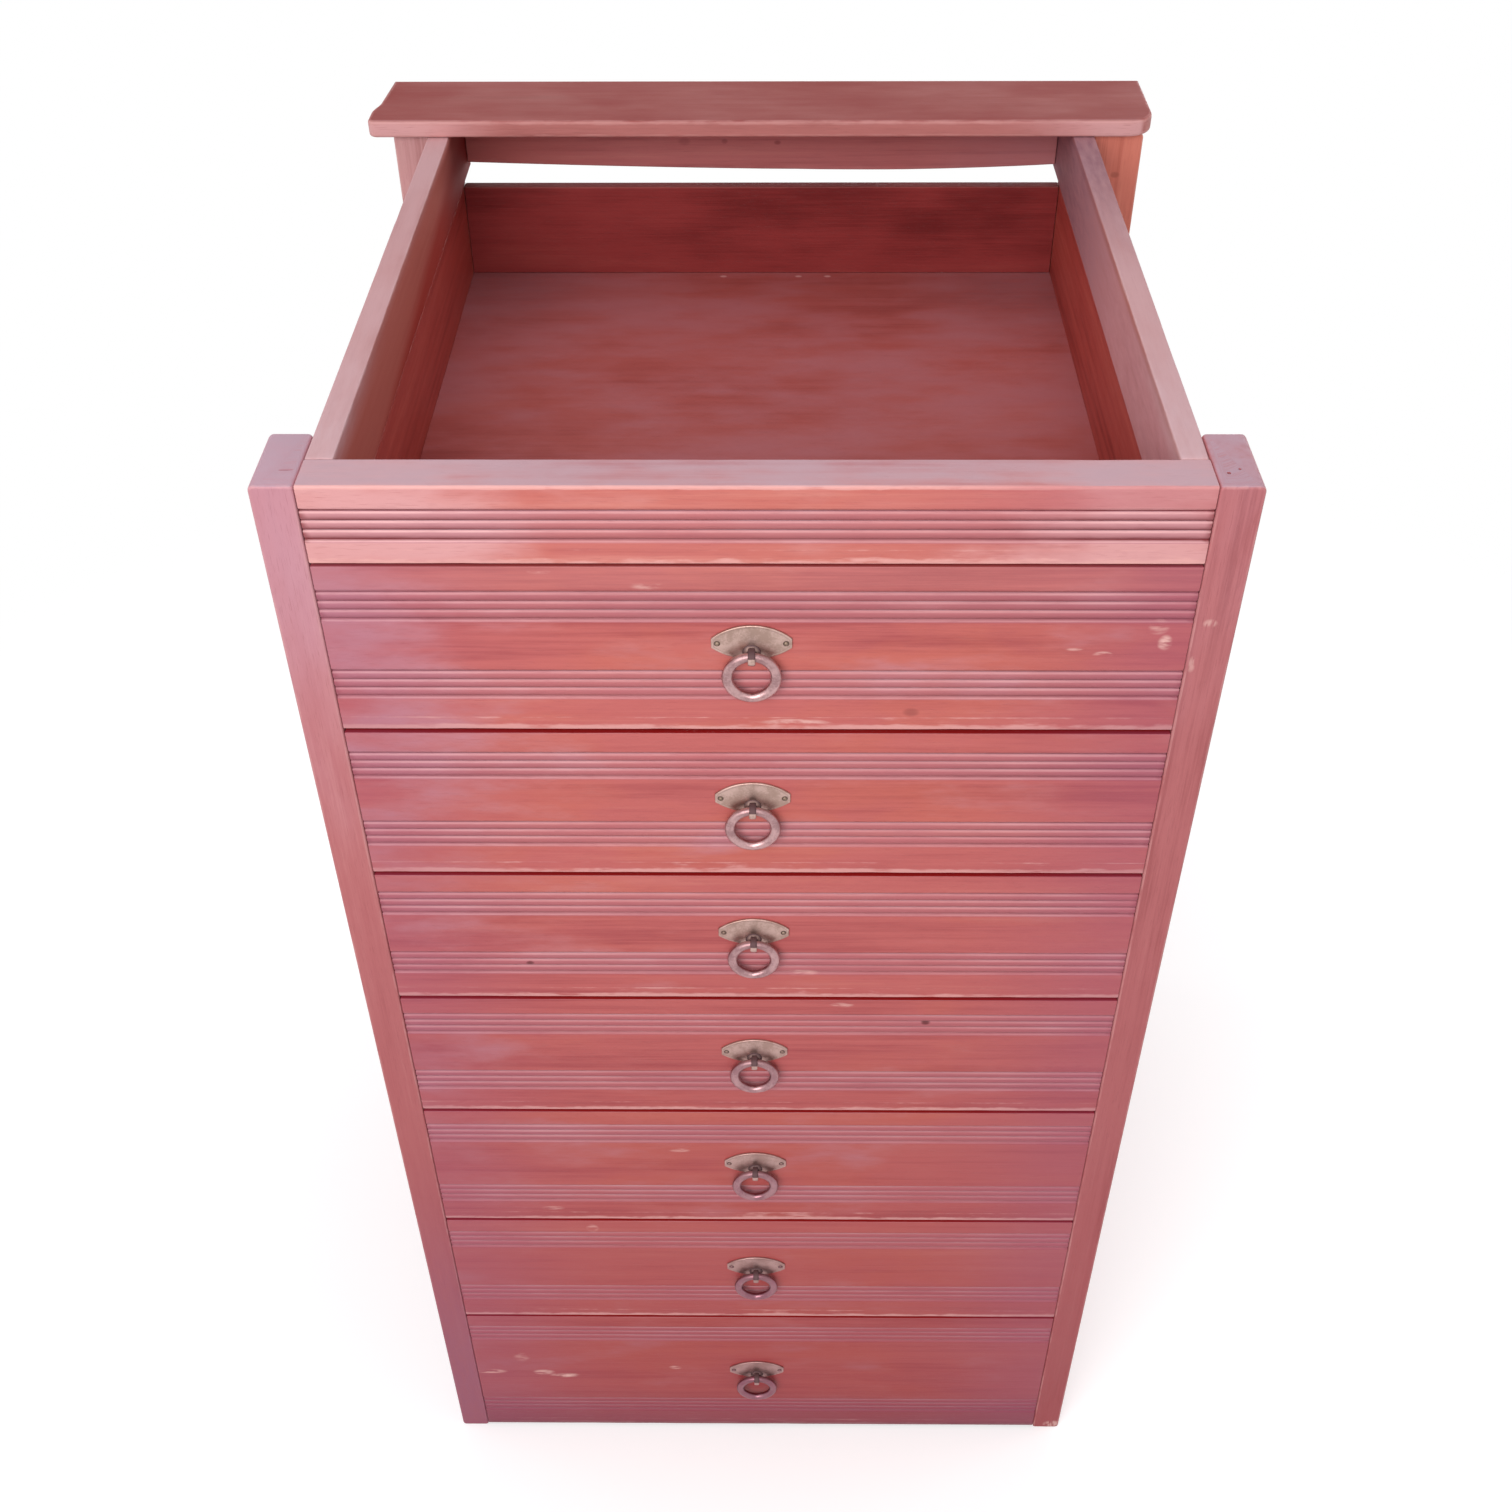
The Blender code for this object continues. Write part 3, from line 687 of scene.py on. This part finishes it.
def pull_plate(eye, face_y):
    """The plate with its raised rim and domed field, two pins, and the eye on its stud."""
    blank = Blank()
    outline = lens_outline(PLATE_STEPS)
    out = turned_out(outline)
    back = face_y - SEAT
    middle = eye.z + PLATE_LIFT
    rings = []
    for inset, rise, groove in PLATE_RIM:
        flat = [Vector(here) - away * inset for here, away in zip(outline, out)]
        rings.append([blank.point((eye.x + p.x, back - rise, middle + p.y), 0.0, groove) for p in flat])
    for share in FIELD_SHARES:
        rise = FIELD_START + FIELD_DOME * (1 - share ** 2.4)
        ring = [blank.point((eye.x + p.x * share, back - rise, middle + p.y * share)) for p in flat]
        rings.append(ring)
    blank.closed(rings)
    for side in (-1, 1):
        centre = (eye.x + side * PIN_PLACE, back, middle)
        blank.closed(turned(blank, PIN_HEAD, centre, ALONG_Y, PIN_STEPS), 1)
    blank.closed(turned(blank, STUD, (eye.x, back, eye.z), ALONG_Y, STUD_STEPS))
    knuckle = []
    for step in range(EYE_SIDES):
        angle = 2 * math.pi * step / EYE_SIDES
        side, rim = math.cos(angle), math.sin(angle)
        along = EYE_HALF_WIDTH * math.copysign(abs(side) ** 0.55, side)
        radius = EYE_MIDDLE + EYE_WALL * math.copysign(abs(rim) ** 0.7, rim)
        knuckle.append((radius, along, 0.15))
    rings = turned(blank, knuckle, eye, ALONG_X, EYE_STEPS)
    blank.strips([*rings, rings[0]])
    # Painted shade on the eye: dark on top and at its lower end inside the ring, a little everywhere
    for vert in sum(rings, []):
        if vert.co.z > eye.z + EYE_MIDDLE * 0.3:
            vert[blank.groove] = 1.0
        elif vert.co.z < eye.z - EYE_MIDDLE * 0.55:
            vert[blank.groove] = 0.75
    return blank


def pull_ring(eye):
    """The ring, thicker at the bottom where the hand takes it."""
    blank = Blank()
    middle = eye.z - RING_RADIUS
    rings = []
    for step in range(RING_STEPS):
        angle = 2 * math.pi * step / RING_STEPS
        low_share = (1 - math.sin(angle)) / 2
        wire = WIRE_TOP + WIRE_LOW_GAIN * low_share
        broad = wire + WIRE_SIDE_GAIN * abs(math.cos(angle)) ** 0.7
        rubbed = max(0.0, 1 - 2.2 * low_share)
        ring = []
        for turn in range(WIRE_STEPS):
            around = 2 * math.pi * turn / WIRE_STEPS
            reach = RING_RADIUS + WIRE_RADIUS - broad + broad * math.cos(around)
            place = (eye.x + reach * math.cos(angle), eye.y + wire * math.sin(around),
                     middle + reach * math.sin(angle))
            # Painted shade on the inner side of the wire
            inside = max(0.0, -math.cos(around)) * 0.12
            ring.append(blank.point(place, 0.0, max(inside, rubbed * 0.5)))
        rings.append(ring)
    blank.strips([*rings, rings[0]])
    return blank


def joined_spots(x, z, spots):
    """One mask of several marks, each given as its middle, half size and strength."""
    mask = x * 0.0
    for middle, half_size, share in spots:
        mask = mask.most(spot(x, z, middle, half_size) * share)
    return mask


def on_front(y, near=0.002, far=0.004):
    """1 on the face of the fronts, 0 behind it."""
    return 1 - (y - FRONT_Y).smooth(near, far)


def front_marks(x, y, z, scuff):
    """Drawer fronts: mauve towards their ends, painted shade towards the floor and along the lowest edge,
    with knots and pale bruises.
    """
    front = on_front(y)
    yield z.smooth(0.947, 0.955) * front * 0.2, (214, 148, 146)
    yield (x * x).smooth(0.012, 0.06) * front * 0.34, (154, 78, 108)
    # Painted shade: dark mauve towards the floor, darkest along the lowest front's bottom edge
    yield (1 - z.smooth(0.01, 0.075)) * front * 0.5, (118, 46, 76)
    yield (1 - z.smooth(0.002, 0.012)) * front * 0.55, (92, 36, 52)
    yield joined_spots(x, z, FRONT_KNOTS) * front, (96, 34, 38)
    yield joined_spots(x, z, FRONT_BRUISES) * scuff.smooth(0.38, 0.60) * front, (236, 186, 178)


def top_rail_marks(x, y, z, scuff):
    """The top rail: redder at the right end of its upper strip."""
    upper = z.smooth(1.002, 1.008) * on_front(y, 0.0008, 0.002)
    yield x.smooth(0.08, 0.18) * upper * (0.55 + (scuff - 0.5) * 0.4), (190, 106, 112)


def post_marks(x, y, z, scuff):
    """Darker mauve low on the left post, and pale flecks high on the right one."""
    left = 1 - (x + 0.2).smooth(0.0, 0.02)
    yield left * (1 - z.smooth(0.08, 0.45)) * (0.6 + (scuff - 0.5) * 0.5), (148, 84, 112)
    front = on_front(y)
    yield joined_spots(x, z, POST_FLECKS) * front * scuff.smooth(0.42, 0.56), (228, 180, 172)


def rear_rail_marks(x, y, z, scuff):
    """The rear rail: brown to the left, pale to the right, with small knots in the middle."""
    yield (0.0 - x).smooth(0.08, 0.22) * 0.45, (142, 60, 52)
    yield x.smooth(0.10, 0.22) * (0.4 + (scuff - 0.5) * 0.6), (176, 122, 130)
    yield joined_spots(x, z, REAR_RAIL_KNOTS) * (0.6 + (scuff - 0.5) * 0.6), (100, 44, 48)


def rear_post_knot(x, y, z, scuff):
    """The small knot near the top of the right rear post."""
    yield spot(x, z, (0.272, 0.988), (0.0042, 0.0030)) * (0.45 + (scuff - 0.5) * 0.6), (136, 66, 54)


def rail_marks(x, y, z, scuff):
    """Side rails: painted light on the right one's inner face, dark red painted shade low inside the left one
    and at its far end, grey far along the right one, pale where hands rest.
    """
    right = (x - 0.2).smooth(0.0, 0.02)
    inner = 1 - z.smooth(1.012, 1.019)
    # Painted light: the right rail's inner face, which faces the light, made paler
    yield right * inner * (0.75 + (scuff - 0.5) * 0.8), (216, 160, 166)
    left = (1 - (x + 0.2).smooth(0.0, 0.02)) * inner
    # Painted shade: the left rail's inner face darker, dark red low down and darkest at its far end
    yield left * 0.6, (180, 92, 76)
    yield left * (1 - (z - y * 0.1).smooth(0.968, 0.988)) * 0.85, (158, 50, 42)
    yield left * (y - 0.12).smooth(0.0, 0.1) * 0.5, (104, 40, 44)
    yield right * (y + 0.06).smooth(0.0, 0.26) * (0.72 + (scuff - 0.5) * 0.8), (138, 94, 106)
    near = (1 - (y + 0.25).smooth(0.0, 0.2)) * z.smooth(1.0, 1.018)
    yield near * (0.4 + (scuff - 0.5) * 0.6), (214, 184, 190)


def floor_marks(x, y, z, scuff):
    """Floors paler towards the front as painted light, with grey dust and pale crumbs at the back of the top
    drawer's floor.
    """
    top_drawer = z.smooth(0.86, 0.87)
    # Painted light: paler towards the front of each floor
    yield (1 - (y + 0.26).smooth(0.0, 0.32)) * 0.3, (200, 116, 114)
    dust = (y - 0.1).smooth(0.0, 0.15) * (x * x).smooth(0.004, 0.04)
    yield dust * top_drawer * (0.45 + (scuff - 0.5) * 0.8), (150, 100, 108)
    for across in (-0.031, 0.0306, 0.0544):
        yield spot(x, y, (across, 0.2495), (0.0035, 0.0022)) * top_drawer * 0.8, (214, 160, 158)


def front_haze(x, y, z):
    """On the left ends of the fronts, most of all high up."""
    return (0.0 - x).smooth(0.09, 0.26) * (z.smooth(0.7, 0.95) * 0.62 + 0.16)


def rail_haze(x, y, z):
    """On both ends of the top rail."""
    return (x * x).smooth(0.003, 0.04) * 0.75 + 0.03


def post_haze(x, y, z):
    """High on the posts, more on the left one."""
    return z.smooth(0.68, 1.02) * (0.41 - x * 0.7)


def cap_haze(x, y, z):
    """On both ends of the cap's front edge."""
    return (x * x).smooth(0.02, 0.08) * (1 - y.smooth(0.2085, 0.2125))


def floor_haze(x, y, z):
    return x * 0.0 + 0.45


def make_finishes():
    """Every finish of the unit by name."""
    return {
        "fronts": stained_wood(
            "front_stain", ALONG_X, tones=((168, 78, 80), (197, 104, 101), (212, 126, 116)),
            worn=(230, 170, 166), haze=(200, 138, 148), haze_mask=front_haze, dust=(204, 164, 172),
            wear=0.7, orange_share=0.4, low_shade=0.66, bold=0.75, patchy=2.2, marks=front_marks),
        "top_rail": stained_wood(
            "top_rail_stain", ALONG_X, tones=((176, 86, 86), (203, 114, 108), (218, 138, 128)),
            worn=(236, 176, 170), haze=(222, 160, 160), haze_mask=rail_haze, dust=(191, 158, 168),
            wear=0.7, orange_share=0.25, patchy=1.6, marks=top_rail_marks),
        "posts": stained_wood(
            "frame_stain", ALONG_Z, tones=((154, 78, 80), (186, 108, 110), (200, 128, 128)),
            worn=(222, 168, 166), haze=(206, 156, 172), haze_mask=post_haze, dust=(184, 154, 168),
            wear=0.35, low_shade=0.65, bold=0.7, patchy=0.3, marks=post_marks),
        "rear_post_left": stained_wood(
            "rear_left_stain", ALONG_Z, tones=((170, 114, 114), (198, 148, 148), (210, 164, 162)),
            worn=(222, 180, 176), haze=(206, 156, 172), dust=(206, 172, 186)),
        "rear_post_right": stained_wood(
            "rear_right_stain", ALONG_Z, tones=((184, 98, 82), (208, 122, 104), (220, 140, 120)),
            worn=(216, 160, 146), haze=(206, 156, 172), dust=(206, 172, 186), marks=rear_post_knot),
        "rails": stained_wood(
            "worn_rail", ALONG_Y, tones=((158, 92, 88), (186, 118, 112), (204, 140, 132)),
            worn=(214, 178, 180), haze=(150, 106, 116), dust=(208, 168, 172), dust_share=0.8, wear=0.35,
            shine=0.72, gloss=0.12, bold=0.5, cloud=0.9, marks=rail_marks),
        "cap": stained_wood(
            "cap_stain", ALONG_X, tones=((152, 90, 86), (186, 120, 116), (200, 136, 130)),
            worn=(206, 150, 146), haze=(212, 158, 158), haze_mask=cap_haze, dust=(136, 50, 48),
            dust_share=0.8, gloss=0.12, bold=0.55, cloud=0.4),
        "rear_rail": stained_wood(
            "rear_rail_stain", ALONG_X, tones=((150, 82, 84), (178, 106, 106), (190, 122, 118)),
            worn=(200, 140, 136), haze=(180, 122, 124), dust=(174, 108, 106), dust_share=0.4, wear=0.2,
            marks=rear_rail_marks),
        "boxes": stained_wood(
            "box_stain", ALONG_Y, tones=((140, 46, 40), (176, 74, 66), (192, 94, 82)), worn=(176, 100, 92),
            haze=(160, 90, 88), dust=(176, 116, 116), dust_share=0.5, wear=0.15),
        "backs": stained_wood(
            "back_stain", ALONG_X, tones=((106, 33, 34), (137, 50, 50), (152, 66, 62)),
            worn=(176, 100, 92), haze=(160, 90, 88), dust=(170, 112, 112), dust_share=0.5, wear=0.15,
            gloss=0.2, bold=0.3, cloud=1.3),
        "floors": stained_wood(
            "box_floor", ALONG_X, tones=((132, 52, 50), (164, 76, 72), (180, 94, 88)),
            worn=(184, 120, 116), haze=(166, 100, 108), haze_mask=floor_haze, dust=(184, 98, 94),
            dust_share=0.4, wear=0.1, gloss=0.16, bold=0.4, cloud=1.0, patchy=2.0, marks=floor_marks),
        "plates": aged_metal(
            "plate_metal", bright=(200, 170, 161), dull=(172, 143, 132), tarnish_and_shade=(92, 66, 68), rough=0.45,
            low_metal_shade=0.42),
        "rings": aged_metal(
            "ring_metal", bright=(197, 160, 160), dull=(160, 124, 126), tarnish_and_shade=(104, 70, 74), rough=0.36,
            low_metal_shade=0.82),
        "pins": aged_metal(
            "pin_metal", bright=(150, 130, 114), dull=(122, 102, 90), tarnish_and_shade=(76, 58, 54), rough=0.5,
            low_metal_shade=0.7),
    }


def cut_out(piece, cutters):
    """Cuts small holes or cracks out of a finished piece."""
    for cutter in cutters:
        modifier = piece.modifiers.new(cutter.name, "BOOLEAN")
        modifier.operation = "DIFFERENCE"
        modifier.object = cutter
    bpy.context.view_layer.update()
    graph = bpy.context.evaluated_depsgraph_get()
    data = bpy.data.meshes.new_from_object(piece.evaluated_get(graph))
    piece.modifiers.clear()
    piece.data = data
    for cutter in cutters:
        bpy.data.objects.remove(cutter)


def hole_cutter(name, place, radius, depth, length=1.0, turn=0.0):
    """A pit to be cut out: round, or long for a crack."""
    data = bpy.data.meshes.new(name)
    shape = bmesh.new()
    bmesh.ops.create_cone(
        shape, cap_ends=True, segments=14, radius1=radius * 0.7, radius2=radius, depth=2 * depth)
    shape.to_mesh(data)
    shape.free()
    cutter = placed(name, data)
    cutter.matrix_world = (Matrix.Translation(place) @ Matrix.Rotation(turn, 4, "Z")
                           @ Matrix.Diagonal((length, 1.0, 1.0, 1.0)))
    cutter.hide_render = True
    return cutter


def post_outline(low, high, outer, spread):
    """Front of a post, anticlockwise: its top corners rounded, most of all on the outer side."""
    points = []
    for x, z, start in ((low.x, low.z, 2), (high.x, low.z, 3), (high.x, high.z, 0), (low.x, high.z, 1)):
        outside = (x == low.x) == (outer < 0)
        radius = POST_ROUNDS[z == high.z][outside]
        middle = [x + radius if x == low.x else x - radius, z + radius if z == low.z else z - radius]
        if outside and z == high.z:
            middle[0] += outer * spread
        for step in range(7):
            angle = math.pi / 2 * (start + step / 6)
            points.append((middle[0] + radius * math.cos(angle), middle[1] + radius * math.sin(angle)))
    return points


def make_posts(finishes):
    """The four posts, with nail holes and a crack in the tops of the front ones."""
    for side, outer in (("left", -1), ("right", 1)):
        for end in ("front", "rear"):
            node = end + "_post_" + side
            low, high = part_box(node)
            outline = post_outline(low, high, outer, POST_SPREAD if end == "front" else 0.0)
            blank = eased_outline(outline, low.y, high.y, POST_EASE, lambda u, v, w: (u, w, v), POST_FADE)
            finish = finishes.get(node, finishes["posts"])
            post = blank.finished(node + "_board", [finish], CARCASS, "frame_stain", [node])
            if node == "front_post_right":
                cut_out(post, [hole_cutter(name, (*place, high.z), radius, depth)
                               for name, place, radius, depth in NAIL_HOLES])
            if node == "front_post_left":
                cut_out(post, [hole_cutter("drying_crack", (*CRACK_PLACE, high.z), CRACK_HALF_WIDTH,
                                           CRACK_DEPTH, CRACK_LENGTH, CRACK_TURN)])


def sagging_outline(low, high):
    """Front of the rear rail, anticlockwise: its lower edge hangs lowest right of the middle."""
    middle, half = (low.x + high.x) / 2, (high.x - low.x) / 2
    points = []
    for step in range(SAG_STEPS + 1):
        share = 2 * step / SAG_STEPS - 1
        to_left = share < SAG_PLACE
        from_lowest = abs(share - SAG_PLACE) / (1 + SAG_PLACE if to_left else 1 - SAG_PLACE)
        sag = SAG_RISES[0] if to_left else SAG_RISES[1]
        points.append((middle + half * share, low.z + sag * from_lowest ** SAG_BEND))
    points += [(high.x - (high.x - low.x) * step / SAG_STEPS, high.z) for step in range(SAG_STEPS + 1)]
    return points


def make_rails(finishes):
    """The reeded top rail, the sagging rear rail and the two bottom rails."""
    low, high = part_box("front_top_rail")
    band = [high.z - low.z - RAIL_BAND_MARGIN]
    blank = reeded_front(low, high, band, RAIL_EASES, RAIL_WEARS, 0.0)
    blank.finished("front_top_rail_board", [finishes["top_rail"]], CARCASS, "front_stain", ["front_top_rail"])
    low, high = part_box("rear_top_rail")
    blank = eased_outline(sagging_outline(low, high), low.y, high.y, RAIL_EASE, lambda u, v, w: (u, w, v))
    blank.finished("rear_top_rail_board", [finishes["rear_rail"]], CARCASS, "cap_stain", ["rear_top_rail"])
    for node in ("bottom_front_rail", "bottom_rear_rail"):
        blank = eased_board(*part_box(node), BOTTOM_RAIL_EASE)
        blank.finished(node + "_board", [finishes["posts"]], CARCASS, "frame_stain", [node])


def cap_outline(low, high):
    """Plan of the cap, anticlockwise: rounded front corners, and a left end drawn in behind its lobe."""
    points = []
    for side, start, radius in ((-1, math.pi, CAP_RADII[0]), (1, 1.5 * math.pi, CAP_RADII[1])):
        middle = (low.x + radius if side < 0 else high.x - radius, low.y + radius)
        for step in range(CAP_STEPS + 1):
            angle = start + math.pi / 2 * step / CAP_STEPS
            points.append((middle[0] + radius * math.cos(angle), middle[1] + radius * math.sin(angle)))
    points.append((high.x, high.y))
    points.append((low.x + CAP_STEP_IN + CAP_TAPER, high.y))
    for step in range(CAP_STEPS + 1):
        share = 1 - step / CAP_STEPS
        inset = CAP_STEP_IN * (1 - math.cos(math.pi * share)) / 2
        points.append((low.x + inset, low.y + CAP_LOBE + CAP_BEND * share))
    return points


def make_cap(finishes):
    """The cap board over the rear posts."""
    low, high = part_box("cap_board")
    outline = cap_outline(low, high)
    blank = eased_outline(outline, low.z, high.z, CAP_EASE, lambda u, v, w: (u, v, w), CAP_FADE)
    blank.finished("cap_board_top", [finishes["cap"]], CARCASS, "cap_stain", ["cap_board"])


def make_racks(finishes):
    """Each side rack as its own boards: a panel, the top rail and seven runners."""
    for side, sign in (("left", -1), ("right", 1)):
        node = side + "_side_rack"
        low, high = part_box(node)
        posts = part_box("front_post_" + side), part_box("rear_post_" + side)
        bar = sorted((sign * RACK_FACE, sign * (RACK_FACE - RACK_RAIL_WIDTH)))
        rail_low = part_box("front_top_rail")[0].z - KICK_DROP
        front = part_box("front_top_rail")[1].y + SEAT
        blank = eased_board((bar[0], front, rail_low), (bar[1], high.y, high.z), RACK_RAIL_EASE)
        blank.finished(side + "_top_rail", [finishes["rails"]], CARCASS, "worn_rail", [node])
        panel = sorted((sign * (RACK_FACE + PANEL_GAP), sign * (RACK_FACE + PANEL_THICKNESS)))
        blank = eased_board((panel[0], posts[0][1].y + SEAT, low.z),
                            (panel[1], posts[1][0].y - SEAT, rail_low + PANEL_OVERLAP),
                            BOX_EASE, PANEL_STEP)
        blank.finished(side + "_side_panel", [finishes["posts"]], CARCASS, "frame_stain")
        for number in DRAWERS:
            front_low, front_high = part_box("drawer_%d_front" % number)
            runner_low = max(front_low.z - KICK_DROP, low.z)
            blank = eased_board((bar[0], front_high.y + RUNNER_SETBACK, runner_low),
                                (bar[1], high.y, front_low.z + RUNNER_RISE), BOX_EASE, BOX_STEP)
            blank.finished("%s_runner_%d" % (side, number), [finishes["rails"]], CARCASS, "worn_rail")


def make_drawers(finishes):
    """Each drawer's reeded front, its box and its pull."""
    for number in DRAWERS:
        body = "drawer_%d" % number
        node = body + "_front"
        low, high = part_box(node)
        height = high.z - low.z
        bands = [height - BAND_TOP_MARGIN, BAND_BOTTOM_MARGIN + BAND_HEIGHT]
        if number == DRAWERS[0]:
            high.z += TOP_FRONT_RISE
        blank = reeded_front(low, high, bands, DRAWER_EASES, DRAWER_WEARS, GAP_SHADE, FRONT_WIDEN)
        blank.finished(node + "_board", [finishes["fronts"]], body, "front_stain", [node])
        for board, finish in (("_left_side", "boxes"), ("_right_side", "boxes"), ("_back", "backs")):
            node = body + board
            blank = eased_board(*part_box(node), BOX_EASE, BOX_STEP)
            blank.finished(node + "_board", [finishes[finish]], body, "box_stain", [node])
        node = body + "_bottom"
        low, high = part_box(node)
        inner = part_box(body + "_right_side")[0].x
        half = inner + FLOOR_LAP
        blank = eased_board((-half, low.y, low.z), (half, high.y, high.z), FLOOR_EASE, BOX_STEP)
        blank.finished(node + "_board", [finishes["floors"]], body, "box_floor", [node])
        make_pull(finishes, number, body)


def make_pull(finishes, number, body):
    """The plate and the ring of one drawer, round the eye that the ring turns in."""
    ring_low, ring_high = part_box(body + "_pull_ring")
    middle = (ring_low + ring_high) / 2
    eye = Vector((middle.x, middle.y, ring_high.z - WIRE_RADIUS))
    face_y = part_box(body + "_front")[0].y
    blank = pull_plate(eye, face_y)
    metals = [finishes["plates"], finishes["pins"]]
    blank.finished(body + "_plate", metals, body, "plate_metal", [body + "_pull_plate"])
    blank = pull_ring(eye)
    blank.finished(
        body + "_ring", [finishes["rings"]], "ring_%d" % number, "ring_metal", [body + "_pull_ring"])


def make_camera():
    """The photographer's place: above the top rail, looking down at the fronts."""
    pitch, yaw, roll = (math.radians(turn) for turn in (CAMERA_PITCH, CAMERA_YAW, CAMERA_ROLL))
    ahead = Vector((-math.sin(yaw) * math.cos(pitch), math.cos(yaw) * math.cos(pitch), -math.sin(pitch)))
    level = Vector((math.cos(yaw), math.sin(yaw), 0.0))
    down = ahead.cross(level)
    right = level * math.cos(roll) + down * math.sin(roll)
    up = level * math.sin(roll) - down * math.cos(roll)
    data = bpy.data.cameras.new("camera")
    data.sensor_width = CAMERA_SENSOR
    data.lens = CAMERA_LENS
    camera = placed("camera", data)
    turn = Matrix((right, up, -ahead)).transposed().to_4x4()
    camera.matrix_world = Matrix.Translation(CAMERA_PLACE) @ turn
    bpy.context.scene.camera = camera


def seen_ray(recipe):
    """1 on rays that show the background: from the camera, off gloss and through clear things."""
    rays = [recipe.node("ShaderNodeLightPath", {}, {}, name)
            for name in ("Is Camera Ray", "Is Glossy Ray", "Is Transmission Ray")]
    return rays[0].most(rays[1]).most(rays[2])


def make_floor():
    """A pale floor that takes a soft shadow near the unit and goes over into the white behind it."""
    data = bpy.data.meshes.new("floor")
    shape = bmesh.new()
    bmesh.ops.create_grid(shape, x_segments=8, y_segments=8, size=9.0)
    shape.to_mesh(data)
    shape.free()
    floor = placed("floor", data)
    material, recipe = new_recipe("pale_floor")
    lit = recipe.node("ShaderNodeBsdfDiffuse", {}, {"Color": (0.80, 0.80, 0.80, 1.0)})
    glow = recipe.node("ShaderNodeEmission", {}, {"Color": WHITE, "Strength": 0.34})
    near = recipe.node("ShaderNodeAddShader", {}, {0: lit, 1: glow})
    white = recipe.node("ShaderNodeEmission", {}, {"Color": WHITE, "Strength": 1.0})
    place = recipe.node("ShaderNodeTexCoord", {}, {}, "Object")
    away = recipe.node("ShaderNodeVectorMath", {"operation": "LENGTH"}, {0: place}, "Value")
    pale = recipe.node("ShaderNodeMixShader", {}, {0: away.smooth(0.7, 1.6), 1: near, 2: white})
    dull = recipe.node("ShaderNodeBsdfDiffuse", {}, {"Color": (0.45, 0.45, 0.45, 1.0)})
    mixed = recipe.node("ShaderNodeMixShader", {}, {0: seen_ray(recipe), 1: dull, 2: pale})
    recipe.node("ShaderNodeOutputMaterial", {}, {"Surface": mixed})
    data.materials.append(material)


def area_light(name, place, aim, size, power, colour):
    """A soft lamp at a place, turned to what it lights."""
    data = bpy.data.lights.new(name, "AREA")
    data.shape = "RECTANGLE"
    data.size, data.size_y = size
    data.energy = power
    data.color = colour
    lamp = placed(name, data)
    direction = Vector(aim) - Vector(place)
    lamp.matrix_world = Matrix.Translation(place) @ direction.to_track_quat("-Z", "Y").to_matrix().to_4x4()


def make_light():
    """White surroundings, and soft lamps in front, above, behind and at both sides."""
    world = bpy.context.scene.world or bpy.data.worlds.new("world")
    bpy.context.scene.world = world
    world.use_nodes = True
    recipe = Recipe(world.node_tree)
    soft = recipe.node("ShaderNodeBackground", {}, {"Color": (0.95, 0.97, 1.0, 1.0), "Strength": 0.45})
    white = recipe.node("ShaderNodeBackground", {}, {"Color": WHITE, "Strength": 1.0})
    mixed = recipe.node("ShaderNodeMixShader", {}, {0: seen_ray(recipe), 1: soft, 2: white})
    recipe.node("ShaderNodeOutputWorld", {}, {"Surface": mixed})
    area_light("key", (-0.6, -2.4, 2.2), (0.0, 0.0, 0.75), (2.2, 1.6), 60.0, (1.0, 0.98, 0.97))
    area_light("overhead", (0.1, 0.1, 3.0), (0.0, 0.0, 0.9), (2.4, 2.4), 11.0, (0.97, 0.98, 1.0))
    area_light("behind", (0.8, 2.6, 0.7), (0.0, 0.2, 0.6), (2.0, 0.9), 22.0, (0.98, 0.98, 1.0))
    area_light("left", (-2.6, 0.4, 1.1), (0.0, 0.1, 0.7), (1.2, 1.2), 9.0, (1.0, 0.99, 0.98))
    area_light("right", (2.6, 0.4, 1.1), (0.0, 0.1, 0.7), (1.2, 1.2), 15.0, (1.0, 0.99, 0.98))
    bpy.context.scene.view_settings.view_transform = "Standard"


make_camera()
finishes = make_finishes()
make_posts(finishes)
make_rails(finishes)
make_cap(finishes)
make_racks(finishes)
make_drawers(finishes)
make_floor()
make_light()
